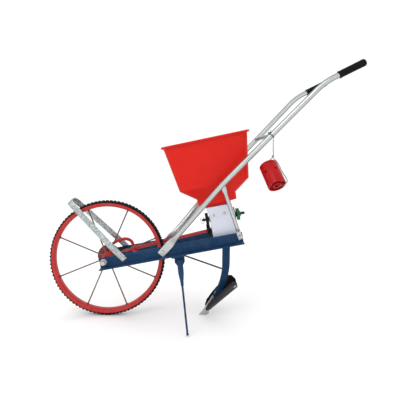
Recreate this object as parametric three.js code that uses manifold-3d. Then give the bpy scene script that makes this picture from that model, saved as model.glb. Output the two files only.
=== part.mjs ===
// Push seeder: a one-wheel hand planter that meters seed from a hopper into a furrow.
// Millimetres, +Z up, +X to the rear (towards the grips), +Y to the machine's right.
import * as THREE from "three";
import { mergeVertices } from "three/addons/utils/BufferGeometryUtils.js";
import Module from "manifold-3d";

const wasm = await Module();
wasm.setup();

// ---- driving dimensions ----
const gap = 0.3; // between pieces that touch
const rad = THREE.MathUtils.degToRad;

const wheel = {
  radius: 254, // over the tread lugs
  lugHeight: 3,
  rubber: 10, // tread outside the rim flange
  width: 40,
  rimDepth: 15, // flange height seen from the side
  rimWall: 2.5,
  spokes: 8,
  spokeDiameter: 6,
  firstSpoke: rad(22.5),
  hubDiameter: 48,
  hubLength: 58,
};
const axleRod = { diameter: 16, stub: 20 }; // stub: length outside each beam
const beams = {
  tilt: rad(11), // rise towards the rear
  halfSpan: 88, // centre plane to the outer face of a web
  steel: 4,
  flange: 40,
  above: 20, // web above the axle line
  below: 25,
  front: -17, // stations run rearwards from the axle
  rear: 598,
};
const boltDiameter = 8;
const towLoop = {
  station: 84,
  height: 2,
  angle: rad(125),
  reach: 336,
  width: 25,
  steel: 4,
  frontHalf: 54,
  tail: 9,
};
const crown = {
  pitchRadius: 44,
  diskRadius: 51,
  teeth: 36,
  face: 31, // centre plane to the back of the disc
  disk: 6,
  toothHeight: 4,
  toothWidth: 2.4,
  toothLength: 13,
};
const shaft = {
  diameter: 14,
  pinionTeeth: 12,
  pinionTip: 16.5,
  pinionRoot: 11.5,
  pinionMesh: 2.4,
  pinionLength: 15,
};
const gears = { teeth: 20, pitchRadius: 26.5, addendum: 2.3, dedendum: 2.9, width: 13, pitchTooth: 3.0 };
const metering = {
  axisHeight: 86.5,
  gearStation: 463,
  driveOffset: 12,
  shaftDiameter: 12,
  rearEnd: 632,
  frontEnd: 440,
};
const box = { front: 476, rear: 584, bottom: 11, top: 102, halfWidth: 58, wall: 3, seatTop: 144 };
// The seed rollers, fitted and spare.
const rollerSize = {
  diameter: 74,
  length: 104,
  cells: 5,
  cellRadius: 5,
  cellDepth: 7,
  cellOffset: 10, // from the middle of the roller to its ring of cells
  well: 12, // depth of the hollow in each end
};
const hopper = {
  tilt: rad(12.7),
  station: 521, // centre of the outlet flange, beam frame
  wall: 2.6,
  // level above the outlet, half length, half width
  levels: [
    [0, 56, 50],
    [9, 57, 50],
    [12, 84, 62],
    [42, 86, 62],
    [92, 150, 96],
    [286, 180, 116],
  ],
  rim: { level: 286, height: 6, overhang: 9 },
  corner: 20,
  throat: 38, // half width of the outlet
};
const knob = { points: 5, radius: 22, wave: 6, thickness: 14 };
const shank = {
  front: 508,
  top: 380,
  width: 33,
  depth: 24,
  wall: 2.6,
  bendStart: 231,
  bendRadius: 258,
  bendAngle: rad(34),
  tipWidth: 20,
};
const brace = { diameter: 7, front: [289, 282], rear: [507, 207] }; // along the centre plane
const opener = {
  keel: [430, 2], // X and Z of the lowest wing corner
  keelAngle: rad(40.4),
  splay: rad(50),
  steel: 3,
  outline: [
    [32, 0], [21, 20], [25, 35], [43, 50], [87, 64],
    [140, 74], [184, 80], [201, 66], [206, 38], [194, 0],
  ],
  boltAt: [188, 26],
  boltSquare: 4.5, // half side of the bolt's square hole
  keelHalf: 2, // centre plane to a wing's inner face at the keel
  // X and Z of the point's side outline
  point: [
    [407, 0], [438, 0], [451, 8], [452, 17], [462, 38],
    [486, 77], [468, 86], [444, 48], [424, 18],
  ],
  pointWidth: 12,
  sharpen: rad(-8),
};
const stand = {
  pivotBehind: 322,
  pivotOutside: 20, // from the web's face
  pivotRise: 6, // above the axle
  footBehind: 358.7,
  footOutside: 140, // from the web's face
  rod: 8,
  head: 24,
  blade: 44, // full width of the leg below the pivot
  taper: 88, // where the blade has narrowed to the rod
  steel: 6,
  ear: 43,
  boltDiameter: 8,
};
const handle = {
  tube: 22,
  flatWidth: 34,
  flatThickness: 6,
  flatLength: 112,
  boltInset: 18, // from the low end to the bolt
  lowEnd: [238, 286], // X and Z along the tube's middle line
  flare: [292, 350], // where the tube starts to lean outwards
  kink: [490, 591],
  bend: [880, 1003],
  end: [1028, 1079],
  bendRadius: 90,
  gripHalf: 231, // centre plane to the end of a grip
  bendHalf: 220,
};
const grip = { length: 114, diameter: 28 };
const crossBrace = { station: 683, diameter: 16, collar: 24, collarLength: 16 };
const strut = {
  diameter: 16,
  flat: 5,
  flatWidth: 20,
  flatLength: 30,
  lowStation: 586,
  lowHeight: 2,
  topX: 493,
  topRise: 3.15, // above the handle's bend
};
const spare = {
  bore: 22,
  axis: [0.25, -0.6, -0.76],
  knotDrop: 91,
  centreDrop: 168,
  station: 690,
  twineTurn: rad(48), // round the roller, from its upper side to the twine's outer run
};
const twineDiameter = 3;

const webInner = beams.halfSpan - beams.steel;
const outsideWeb = beams.halfSpan + gap;

// ---- materials ----
function finish(color, roughness, metalness) {
  return () => new THREE.MeshStandardMaterial({ color, roughness, metalness });
}
const rubber = finish(0x17181a, 0.85, 0);
const redPaint = finish(0xc3262b, 0.4, 0.1);
const darkRedCasting = finish(0x8c1a1e, 0.6, 0.2);
const bluePaint = finish(0x16407c, 0.45, 0.2);
const galvanised = finish(0xc2c9cb, 0.35, 0.9);
const zinc = finish(0xd3d6d8, 0.3, 0.95);
const darkSteel = finish(0x2a2a2c, 0.5, 0.7);
const spokeSteel = finish(0x5a4038, 0.5, 0.6);
const blackSteel = finish(0x121317, 0.35, 0.5);
const brightSteel = finish(0xc9ccc8, 0.22, 1);
const whitePlastic = finish(0xe9ebf2, 0.4, 0);
const redPlastic = finish(0xd92420, 0.3, 0);
const greenPlastic = finish(0x1d8a44, 0.4, 0);
const blackPlastic = finish(0x151517, 0.5, 0);
const twineFibre = finish(0x7f8f62, 0.9, 0);

// ---- scene graph ----
const seeder = new THREE.Group();
const machine = new THREE.Group(); // origin on the ground under the axle
seeder.add(machine);
const wheelGroup = new THREE.Group();
wheelGroup.position.z = wheel.radius;
const chassis = new THREE.Group(); // x along the beams, z square to them, origin on the axle
chassis.position.z = wheel.radius;
chassis.rotation.y = -beams.tilt;
machine.add(wheelGroup, chassis);

function place(parent, name, geometry, material) {
  const mesh = new THREE.Mesh(geometry, material());
  mesh.name = name;
  parent.add(mesh);
  return mesh;
}

// A group whose local z runs along a direction and whose local x leans towards a hint.
function alongAxis(parent, origin, direction, hint) {
  const z = new THREE.Vector3(...direction).normalize();
  const x = new THREE.Vector3(...hint);
  x.addScaledVector(z, -x.dot(z)).normalize();
  const group = new THREE.Group();
  group.quaternion.setFromRotationMatrix(new THREE.Matrix4().makeBasis(x, z.clone().cross(x), z));
  group.position.set(...origin);
  parent.add(group);
  return group;
}

// ---- solids ----
function solid(geometry) {
  const bare = geometry.index ? geometry.toNonIndexed() : geometry.clone();
  for (const key of Object.keys(bare.attributes)) {
    if (key !== "position") bare.deleteAttribute(key);
  }
  const merged = mergeVertices(bare, 1e-4);
  return new wasm.Manifold(new wasm.Mesh({
    numProp: 3,
    vertProperties: merged.attributes.position.array,
    triVerts: new Uint32Array(merged.index.array),
  }));
}

function geometryOf(body) {
  const mesh = body.getMesh();
  const geometry = new THREE.BufferGeometry();
  const corners = Float32Array.from(mesh.vertProperties);
  geometry.setAttribute("position", new THREE.BufferAttribute(corners, 3));
  geometry.setIndex(new THREE.BufferAttribute(Uint32Array.from(mesh.triVerts), 1));
  return geometry;
}

function join(first, ...rest) {
  return geometryOf(rest.reduce((body, piece) => body.add(solid(piece)), solid(first)));
}
function cut(first, ...tools) {
  return geometryOf(tools.reduce((body, tool) => body.subtract(solid(tool)), solid(first)));
}

// A block between two corners.
function block(low, high) {
  const size = high.map((v, i) => v - low[i]);
  return new THREE.BoxGeometry(...size).translate(...low.map((v, i) => v + size[i] / 2));
}

const turns = {
  x: (geometry) => geometry.rotateZ(-Math.PI / 2),
  y: (geometry) => geometry,
  z: (geometry) => geometry.rotateX(Math.PI / 2),
};

// A round bar along a local axis, from a start to an end on that axis.
function bar(axis, radius, start, end, centre = [0, 0, 0], sides = 24, radiusEnd = radius) {
  const made = turns[axis](new THREE.CylinderGeometry(radiusEnd, radius, end - start, sides));
  const middle = { x: 0, y: 0, z: 0 };
  middle[axis] = (start + end) / 2;
  return made.translate(centre[0] + middle.x, centre[1] + middle.y, centre[2] + middle.z);
}

function ring(axis, inner, outer, start, end, centre = [0, 0, 0], sides = 32) {
  const corners = [[inner, start], [outer, start], [outer, end], [inner, end], [inner, start]];
  return turns[axis](lathe(corners, sides)).translate(...centre);
}

// A closed outline of radius and height turned about local y.
function lathe(points, sides) {
  return new THREE.LatheGeometry(points.map((p) => new THREE.Vector2(...p)), sides);
}

function outline(points) {
  return new THREE.Shape(points.map((p) => new THREE.Vector2(...p)));
}

function plate(shape, thickness, curveSegments = 12) {
  return new THREE.ExtrudeGeometry(shape, { depth: thickness, bevelEnabled: false, curveSegments });
}

function circle(radius, sides = 12) {
  const points = [];
  for (let i = 0; i < sides; i++) {
    const angle = (2 * Math.PI * i) / sides;
    points.push([radius * Math.cos(angle), radius * Math.sin(angle)]);
  }
  return outline(points);
}

function tubeAlong(curve, radius, steps, sides = 12) {
  const settings = { extrudePath: curve, steps, bevelEnabled: false, curveSegments: sides };
  return new THREE.ExtrudeGeometry(circle(radius, sides), settings);
}

// A path of straight runs whose corners are rounded by arcs cut off at a distance.
function roundedPath(points, cutOff) {
  const path = new THREE.CurvePath();
  let from = points[0];
  for (let i = 1; i < points.length - 1; i++) {
    const corner = points[i];
    const back = from.clone().sub(corner).normalize();
    const ahead = points[i + 1].clone().sub(corner).normalize();
    const before = corner.clone().addScaledVector(back, cutOff[i - 1]);
    const after = corner.clone().addScaledVector(ahead, cutOff[i - 1]);
    path.add(new THREE.LineCurve3(from, before));
    path.add(new THREE.QuadraticBezierCurve3(before, corner.clone(), after));
    from = after;
  }
  path.add(new THREE.LineCurve3(from, points.at(-1)));
  return path;
}

// A hexagon-headed bolt with its nut, along local z from the head's seat to the nut's seat.
function boltAndNut(diameter, clamped) {
  const head = bar("z", diameter * 0.9, -diameter * 0.6, 0, [0, 0, 0], 6);
  const nut = bar("z", diameter * 0.9, clamped, clamped + diameter * 0.75, [0, 0, 0], 6);
  const stem = bar("z", diameter / 2, -0.5, clamped + diameter * 1.1, [0, 0, 0], 16);
  return join(head, stem, nut);
}

const holeRadius = boltDiameter / 2 + gap;

// ---- ground wheel ----
const flangeRadius = wheel.radius - wheel.lugHeight - wheel.rubber + 2;
const rimInner = flangeRadius - wheel.rimDepth;
const half = wheel.width / 2;
const rimBed = rimInner + wheel.rimWall;

function rimSection() {
  const inside = half - wheel.rimWall;
  return [
    [rimInner, -half], [flangeRadius, -half], [flangeRadius, -inside], [rimBed, -inside],
    [rimBed, inside], [flangeRadius, inside], [flangeRadius, half], [rimInner, half], [rimInner, -half],
  ];
}
place(wheelGroup, "wheel_rim", lathe(rimSection(), 48), redPaint);

function tyreSection() {
  const inside = half - wheel.rimWall - gap;
  const crownRadius = wheel.radius - wheel.lugHeight;
  const seat = flangeRadius + gap;
  return [
    [rimBed + gap, -inside], [seat, -inside], [seat, -half], [crownRadius - 3, -half],
    [wheel.radius, -half + 9], [wheel.radius, half - 9], [crownRadius - 3, half], [seat, half],
    [seat, inside], [rimBed + gap, inside], [rimBed + gap, -inside],
  ];
}
place(wheelGroup, "tyre", lathe(tyreSection(), 48), rubber);

const hubRadius = wheel.hubDiameter / 2;
const hubHalf = wheel.hubLength / 2;
const axleRadius = axleRod.diameter / 2;
place(wheelGroup, "wheel_hub", lathe([
  [axleRadius + gap, -hubHalf], [hubRadius - 6, -hubHalf], [hubRadius, -hubHalf + 6],
  [hubRadius, hubHalf - 6], [hubRadius - 6, hubHalf], [axleRadius + gap, hubHalf],
  [axleRadius + gap, -hubHalf],
], 32), redPaint);

for (let i = 0; i < wheel.spokes; i++) {
  const turn = wheel.firstSpoke + (2 * Math.PI * i) / wheel.spokes;
  const spoke = new THREE.Group();
  spoke.rotation.y = -turn;
  wheelGroup.add(spoke);
  const rod = bar("x", wheel.spokeDiameter / 2, hubRadius + gap, rimInner - gap - 1, [0, 0, 0], 10);
  place(spoke, `spoke_${i + 1}`, rod, spokeSteel);
}

// The drive gear lies one centre distance below the metering gear and a little to the right of it.
const gearDrop = Math.sqrt((2 * gears.pitchRadius) ** 2 - metering.driveOffset ** 2);
const driveHeight = metering.axisHeight - gearDrop;

// Bevel drive: teeth on the outer face of a disc beside the hub, with a tooth space facing the pinion.
const meshRise = Math.atan2(driveHeight, metering.gearStation);
const crownTop = crown.face + crown.disk + crown.toothHeight;
const crownBore = axleRadius + gap + 1;
const diskTop = crown.face + crown.disk;
const crownDisk = lathe([
  [crownBore, crown.face], [crown.diskRadius, crown.face], [crown.diskRadius, diskTop],
  [axleRadius + 12, diskTop], [axleRadius + 10, crownTop], [crownBore, crownTop], [crownBore, crown.face],
], 48);
const crownTeeth = [];
for (let i = 0; i < crown.teeth; i++) {
  const inner = crown.pitchRadius - crown.toothLength / 2;
  const tooth = block([inner, diskTop - 1, -crown.toothWidth / 2],
    [inner + crown.toothLength, crownTop, crown.toothWidth / 2]);
  crownTeeth.push(tooth.rotateY(-(beams.tilt + meshRise + (2 * Math.PI * (i + 0.5)) / crown.teeth)));
}
place(wheelGroup, "crown_gear", join(crownDisk, ...crownTeeth), darkRedCasting);

// ---- axle ----
const axleEnd = beams.halfSpan + axleRod.stub;
const spacerRadius = axleRadius + 4.5;
place(chassis, "axle", bar("y", axleRadius, -axleEnd, axleEnd), zinc);
for (const side of [-1, 1]) {
  const word = side < 0 ? "left" : "right";
  const from = side < 0 ? hubHalf : crownTop;
  const spacer = ring("y", axleRadius + gap, spacerRadius, from + gap, webInner - gap, [0, 0, 0], 24);
  place(chassis, `axle_spacer_${word}`, side < 0 ? spacer.rotateZ(Math.PI) : spacer, darkSteel);
  const washer = ring("y", axleRadius + gap, axleRadius + 6.5, outsideWeb, outsideWeb + 3, [0, 0, 0], 24);
  const nut = bar("y", axleRadius + 5.5, outsideWeb + 2.5, outsideWeb + 13, [0, 0, 0], 6);
  const nutBore = bar("y", axleRadius + gap, outsideWeb - 1, outsideWeb + 20, [0, 0, 0], 24);
  const nutPiece = cut(join(washer, nut), nutBore);
  place(chassis, `axle_nut_${word}`, side < 0 ? nutPiece.rotateZ(Math.PI) : nutPiece, zinc);
}

// ---- beams ----
const boltStations = [
  [towLoop.station, towLoop.height, holeRadius],
  [strut.lowStation, strut.lowHeight, holeRadius],
  [0, 0, axleRadius + gap],
];
const toChassis = (x, z) => [
  x * Math.cos(beams.tilt) + (z - wheel.radius) * Math.sin(beams.tilt),
  -x * Math.sin(beams.tilt) + (z - wheel.radius) * Math.cos(beams.tilt),
];
const lowDirection = new THREE.Vector2(...handle.flare).sub(new THREE.Vector2(...handle.lowEnd)).normalize();
const handleBoltWorld = handle.lowEnd.map((v, i) => v + handle.boltInset * lowDirection.getComponent(i));
const handleBolt = toChassis(...handleBoltWorld);
boltStations.push([...handleBolt, holeRadius]);

function beam(side) {
  const outer = side * beams.halfSpan;
  const inner = side * webInner;
  const tip = side * (webInner + beams.flange);
  const between = (a, b, low, high) => block(
    [beams.front, Math.min(a, b), low],
    [beams.rear, Math.max(a, b), high],
  );
  const web = between(inner, outer, -beams.below, beams.above);
  const flange = between(inner, tip, -beams.below, -beams.below + beams.steel);
  const [low, high] = [Math.min(inner, outer) - 1, Math.max(inner, outer) + 1];
  const holes = boltStations.map(([station, height, radius]) =>
    bar("y", radius, low, high, [station, 0, height], 20));
  return cut(join(web, flange), ...holes);
}
place(chassis, "left_beam", beam(-1), bluePaint);
place(chassis, "right_beam", beam(1), bluePaint);

// ---- tow loop ----
// Offsets a run of points to both sides by half the metal thickness.
function strip(points, thickness) {
  const left = [];
  const right = [];
  points.forEach((p, i) => {
    const before = points[Math.max(i - 1, 0)];
    const after = points[Math.min(i + 1, points.length - 1)];
    const along = after.clone().sub(before).normalize();
    const normal = new THREE.Vector2(-along.y, along.x).multiplyScalar(thickness / 2);
    left.push(p.clone().add(normal));
    right.push(p.clone().sub(normal));
  });
  return new THREE.Shape([...left, ...right.reverse()]);
}

function towLoopShape() {
  const arm = outsideWeb + towLoop.steel / 2;
  const bend = towLoop.reach - 46;
  const side = [[-towLoop.tail, arm], [50, arm], [90, arm - 4], [bend, towLoop.frontHalf]];
  const points = side.map((p) => new THREE.Vector2(...p));
  const roundEnd = new THREE.CubicBezierCurve(
    new THREE.Vector2(bend, towLoop.frontHalf), new THREE.Vector2(bend + 40, towLoop.frontHalf - 6),
    new THREE.Vector2(towLoop.reach, towLoop.frontHalf - 14), new THREE.Vector2(towLoop.reach, 0));
  points.push(...roundEnd.getPoints(9).slice(1));
  const mirrored = points.slice(0, -1).reverse().map((p) => new THREE.Vector2(p.x, -p.y));
  return strip([...points, ...mirrored], towLoop.steel);
}
// The loop lies in a slanting plane: local x climbs forwards, y runs across, z is the metal's width.
const towGroup = new THREE.Group();
towGroup.position.set(towLoop.station, 0, towLoop.height);
towGroup.rotation.y = -towLoop.angle;
chassis.add(towGroup);
const towBar = plate(towLoopShape(), towLoop.width).translate(0, 0, -towLoop.width / 2);
const towHole = bar("y", holeRadius, -beams.halfSpan - 20, beams.halfSpan + 20, [0, 0, 0], 16);
place(towGroup, "tow_loop", cut(towBar, towHole), galvanised);

// ---- bolts through the webs ----
function webBolt(name, side, station, height, stack) {
  const bolt = boltAndNut(boltDiameter, stack + beams.steel + 3 * gap);
  const group = new THREE.Group();
  group.position.set(station, side * (outsideWeb + stack + gap), height);
  group.rotation.x = side > 0 ? Math.PI / 2 : -Math.PI / 2;
  chassis.add(group);
  place(group, name, bolt, zinc);
}
for (const side of [-1, 1]) {
  const word = side < 0 ? "left" : "right";
  webBolt(`tow_bolt_${word}`, side, towLoop.station, towLoop.height, towLoop.steel);
  webBolt(`handle_bolt_${word}`, side, ...handleBolt, handle.flatThickness);
  webBolt(`strut_bolt_${word}`, side, strut.lowStation, strut.lowHeight, strut.flat + 1.5);
}

// ---- drive shaft, pinion and spur gears ----
const pinionAxisY = crownTop + shaft.pinionTip - shaft.pinionMesh;
const shaftSlope = (metering.driveOffset - pinionAxisY) / (metering.gearStation - crown.pitchRadius);
const shaftStart = [0, pinionAxisY - shaftSlope * crown.pitchRadius, 0];
const shaftEnd = [metering.gearStation, metering.driveOffset, driveHeight];
const shaftRun = shaftEnd.map((v, i) => v - shaftStart[i]);
const shaftLength = Math.hypot(...shaftRun);
const driveLine = alongAxis(chassis, shaftStart, shaftRun, [0, -1, 0]); // local x faces the crown gear
const shaftRadius = shaft.diameter / 2;

// A straight toothed wheel; a tooth is centred on local x plus the given turn.
function toothed({ teeth, tip, root, tipWidth, rootWidth, length, bore, turn }) {
  const corners = [];
  for (let i = 0; i < teeth; i++) {
    const middle = turn + (2 * Math.PI * i) / teeth;
    const sides = [[root, -rootWidth], [tip, -tipWidth], [tip, tipWidth], [root, rootWidth]];
    for (const [radius, width] of sides) {
      const angle = middle + width / 2 / radius;
      corners.push([radius * Math.cos(angle), radius * Math.sin(angle)]);
    }
  }
  const shape = outline(corners);
  const hole = new THREE.Path();
  hole.absarc(0, 0, bore, 0, 2 * Math.PI, true);
  shape.holes.push(hole);
  return plate(shape, length, 10);
}

const pinionStart = crown.pitchRadius / Math.cos(meshRise) - shaft.pinionLength / 2;
const pinionTeeth = toothed({
  teeth: shaft.pinionTeeth,
  tip: shaft.pinionTip,
  root: shaft.pinionRoot,
  tipWidth: 1.6,
  rootWidth: 3.4,
  length: shaft.pinionLength,
  bore: shaftRadius + gap,
  turn: 0,
});
const bossStart = shaft.pinionLength - 1;
const pinionBoss = ring("z", shaftRadius + gap, shaft.pinionRoot, bossStart, bossStart + 9);
place(driveLine, "pinion", join(pinionTeeth, pinionBoss).translate(0, 0, pinionStart), darkSteel);

const driveShaft = bar("z", shaftRadius, pinionStart - 3, shaftLength + 16, [0, 0, 0], 20);
place(driveLine, "drive_shaft", driveShaft, redPaint);

function spurGear(bore, turn) {
  const teeth = toothed({
    teeth: gears.teeth,
    tip: gears.pitchRadius + gears.addendum,
    root: gears.pitchRadius - gears.dedendum,
    tipWidth: gears.pitchTooth - 1.2,
    rootWidth: gears.pitchTooth + 1.4,
    length: gears.width,
    bore,
    turn,
  });
  const boss = ring("z", bore, bore + 5, gears.width - 1, gears.width + 2.5, [0, 0, 0], 20);
  return join(teeth, boss).translate(0, 0, -gears.width / 2);
}
// The drive gear has a tooth on the line to the metering gear, which has a space there.
driveLine.updateMatrix();
const towardsMetering = new THREE.Vector3(0, -metering.driveOffset, metering.axisHeight - driveHeight)
  .applyQuaternion(driveLine.quaternion.clone().invert());
const meshTurn = Math.atan2(towardsMetering.y, towardsMetering.x);
const driveGear = spurGear(shaftRadius + gap, meshTurn).translate(0, 0, shaftLength);
place(driveLine, "drive_gear", driveGear, darkSteel);

const meteringStart = [metering.gearStation, 0, metering.axisHeight];
const meteringLine = alongAxis(chassis, meteringStart, [1, 0, 0], [0, 0, -1]);
const meteringRadius = metering.shaftDiameter / 2;
// Local x points down and local y points to +Y, so the drive gear lies at this angle.
const backTurn = Math.atan2(metering.driveOffset, metering.axisHeight - driveHeight);
const halfTooth = Math.PI / gears.teeth;
place(meteringLine, "metering_gear", spurGear(meteringRadius + gap, backTurn + halfTooth), darkSteel);
const fromGear = (station) => station - metering.gearStation;
const shaftFront = fromGear(metering.frontEnd);
const shaftBar = bar("z", meteringRadius, shaftFront, fromGear(metering.rearEnd), [0, 0, 0], 20);
const pinAt = shaftFront + 8;
const pinHole = bar("x", 2 + gap, -meteringRadius - 1, meteringRadius + 1, [0, 0, pinAt], 12);
place(meteringLine, "metering_shaft", cut(shaftBar, pinHole), darkSteel);
// The split pin with its ring, in front of the gear.
const pinPoints = [[-12, 0, 0], [12, 0, 0], [17, 0, -6], [12, 0, -13], [-12, 0, -13]]
  .map(([x, y, z]) => new THREE.Vector3(x, y, z + pinAt));
const pinCurve = new THREE.CatmullRomCurve3(pinPoints, false, "catmullrom", 0.3);
place(meteringLine, "split_pin", tubeAlong(pinCurve, 1.4, 16, 6), zinc);

// Front bearing of the drive shaft: a casting on the right beam with an arm that arches over the pinion
// to a collar round the axle's spacer.
const bearing = { station: 106, length: 14, radius: 15, armRadius: 7, collar: 14, collarWall: 6 };
// Station and height of the arm's middle line, from the collar to the bearing.
const armRoute = [[2, 18], [16, 42], [48, 56], [84, 57], [106, 42], [112, 12]];
function pinionHousing() {
  const [end, wayPast] = [bearing.station + bearing.length, 200];
  const boss = bar("z", bearing.radius, bearing.station, end, [0, 0, 0], 28);
  const foot = block([-pinionAxisY, -8, bearing.station], [-8, 20, end]);
  const bore = bar("z", shaftRadius + gap, 0, end + 10, [0, 0, 0], 24);
  const onShaft = join(boss, foot).applyMatrix4(driveLine.matrix);
  const points = armRoute.map(([x, z]) => new THREE.Vector3(x, pinionAxisY, z));
  const arm = tubeAlong(new THREE.CatmullRomCurve3(points), bearing.armRadius, 20, 14);
  const collarBore = spacerRadius + gap;
  const low = pinionAxisY - bearing.collar / 2;
  const collar = ring("y", collarBore, collarBore + bearing.collarWall, low, low + bearing.collar);
  const spacerWay = bar("y", collarBore, low - 5, low + bearing.collar + 5, [0, 0, 0], 32);
  const web = block([-50, webInner - gap, -100], [wayPast, wayPast, 100]);
  return cut(join(onShaft, arm, collar), bore.applyMatrix4(driveLine.matrix), spacerWay, web);
}
place(chassis, "pinion_bracket", pinionHousing(), redPaint);

// Bearing flange of the metering shaft, on the box front.
const boxFace = fromGear(box.front) - gap;
const flangeRing = ring("z", meteringRadius + gap, 15, boxFace - 3, boxFace, [0, 0, 0], 24);
place(meteringLine, "bearing_flange", flangeRing, zinc);

// ---- metering box ----
const boxBody = block([box.front, -box.halfWidth, box.bottom], [box.rear, box.halfWidth, box.top]);
const boxInside = block([box.front + box.wall, -box.halfWidth + box.wall, box.bottom + box.wall],
  [box.rear - box.wall, box.halfWidth - box.wall, box.top + 1]);
const outletStation = toChassis(shank.front + shank.width / 2, 372)[0];
const outlet = block([outletStation - 13, -9, box.bottom - 10], [outletStation + 13, 9, box.bottom + 10]);
const meteringAxis = [0, 0, metering.axisHeight];
const shaftHole = bar("x", meteringRadius + gap, box.front - 1, box.front + 10, meteringAxis, 24);
const rollerWay = rollerSize.diameter / 2 + 1; // the roller slides out through the rear wall
const rollerHole = bar("x", rollerWay, box.rear - 10, box.rear + 1, meteringAxis, 32);
const driveShaftNotch = bar("x", shaftRadius + 3, box.front - 1, box.front + box.wall + 1,
  [0, metering.driveOffset, driveHeight + 2], 20);
const boxShell = cut(boxBody, boxInside, outlet, shaftHole, rollerHole, driveShaftNotch);
place(chassis, "metering_box", boxShell, whitePlastic);

// A side outline drawn in X and Z, stood up and centred.
function standUp(geometry, depth) {
  return geometry.rotateX(Math.PI / 2).translate(0, depth / 2, 0);
}

// Seat between the box and the hopper, wider at the top, cut to the hopper's own tilt.
function boxSeat() {
  const low = box.top + gap;
  const high = box.seatTop;
  const side = [[box.front, low], [box.rear, low], [box.rear - 6, high], [box.front - 12, high]];
  const width = 2 * (box.halfWidth + 2);
  const collar = standUp(plate(outline(side), width), width);
  const { station, throat } = hopper;
  const way = block([station - throat, -throat, box.top - 5], [station + throat, throat, box.seatTop + 30]);
  const clear = bar("x", rollerWay, box.front + box.wall, box.rear + 20, meteringAxis, 32);
  return cut(collar, way, clear);
}
const hopperFrame = new THREE.Group();
hopperFrame.position.set(hopper.station, 0, box.seatTop + 2);
hopperFrame.rotation.y = -(hopper.tilt - beams.tilt);
chassis.add(hopperFrame);
place(chassis, "box_seat", boxSeat(), whitePlastic);

// Seed roller in the box: a cylinder with rows of seed cells.
function seedRoller(bore) {
  const radius = rollerSize.diameter / 2;
  const reach = rollerSize.length / 2;
  const { cells, cellRadius, cellDepth, cellOffset, well } = rollerSize;
  const body = ring("z", bore / 2, radius, -reach, reach, [0, 0, 0], 24);
  const tools = [];
  for (let i = 0; i < cells; i++) {
    const cell = bar("x", cellRadius, radius - cellDepth, radius + 3, [0, 0, -cellOffset], 10);
    tools.push(cell.rotateZ((2 * Math.PI * i) / cells));
  }
  for (const end of [-reach, reach]) {
    tools.push(ring("z", bore / 2 + 6, radius - 5, end - well, end + well, [0, 0, 0], 24));
  }
  return cut(body, ...tools);
}
const rollerStart = box.front + box.wall + 2 * gap;
const fittedRoller = seedRoller(metering.shaftDiameter + 2 * gap);
fittedRoller.translate(0, 0, fromGear(rollerStart + rollerSize.length / 2));
place(meteringLine, "seed_roller", fittedRoller, redPlastic);

// Rear side: keeper disc and star knob on the metering shaft.
const keeperFront = rollerStart + rollerSize.length + gap;
const knobFront = keeperFront + 11;
const knobBore = meteringRadius + gap;
const keeperInset = 4; // inside the way that the roller slides out of
const keeperRadius = rollerWay - keeperInset;
const keeperFace = ring("z", knobBore, keeperRadius, fromGear(keeperFront), fromGear(keeperFront + 5));
const hubStart = fromGear(keeperFront + 4);
const keeperHub = ring("z", knobBore, 12, hubStart, fromGear(knobFront) - gap, [0, 0, 0], 24);
place(meteringLine, "keeper_disc", join(keeperFace, keeperHub), blackPlastic);
function starKnob() {
  const points = [];
  const steps = 60;
  for (let i = 0; i < steps; i++) {
    const angle = (2 * Math.PI * i) / steps;
    const radius = knob.radius + knob.wave * Math.cos(knob.points * angle);
    points.push([radius * Math.cos(angle), radius * Math.sin(angle)]);
  }
  const shape = outline(points);
  const hole = new THREE.Path();
  hole.absarc(0, 0, knobBore, 0, 2 * Math.PI, true);
  shape.holes.push(hole);
  const boss = ring("z", knobBore, 11, knob.thickness - 1, knob.thickness + 6, [0, 0, 0], 20);
  return join(plate(shape, knob.thickness, 10), boss);
}
place(meteringLine, "star_knob", starKnob().translate(0, 0, fromGear(knobFront)), greenPlastic);

// Deck between the webs, under the box.
const deckTop = box.bottom - gap;
const deckSteel = 4;
const deckHalf = webInner - gap;
const deckEnd = strut.lowStation - 12;
const deck = block([box.front - 1, -deckHalf, deckTop - deckSteel], [deckEnd, deckHalf, deckTop]);
const deckHole = block([outletStation - 13, -9, deckTop - 10], [outletStation + 13, 9, deckTop + 10]);
place(chassis, "deck_plate", cut(deck, deckHole), bluePaint);

// ---- hopper ----
function roundedRectangle(halfLength, halfWidth, corner) {
  const shape = new THREE.Shape();
  const x = halfLength;
  const y = halfWidth;
  shape.moveTo(-x + corner, -y);
  shape.lineTo(x - corner, -y);
  shape.absarc(x - corner, -y + corner, corner, -Math.PI / 2, 0);
  shape.lineTo(x, y - corner);
  shape.absarc(x - corner, y - corner, corner, 0, Math.PI / 2);
  shape.lineTo(-x + corner, y);
  shape.absarc(-x + corner, y - corner, corner, Math.PI / 2, Math.PI);
  shape.lineTo(-x, -y + corner);
  shape.absarc(-x + corner, -y + corner, corner, Math.PI, 1.5 * Math.PI);
  return shape;
}

// A tapered solid between two levels: an extruded rectangle whose far end is resized.
function taper(low, high, shrink) {
  const [z0, x0, y0] = low;
  const [z1, x1, y1] = high;
  const corner = hopper.corner;
  const made = plate(roundedRectangle(x0 - shrink, y0 - shrink, corner), 1, 3);
  const top = plate(roundedRectangle(x1 - shrink, y1 - shrink, corner), 1, 3);
  const from = made.attributes.position;
  const to = top.attributes.position;
  for (let i = 0; i < from.count; i++) {
    if (from.getZ(i) > 0.5) from.setXYZ(i, to.getX(i), to.getY(i), z1);
    else from.setZ(i, z0);
  }
  return made;
}

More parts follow.
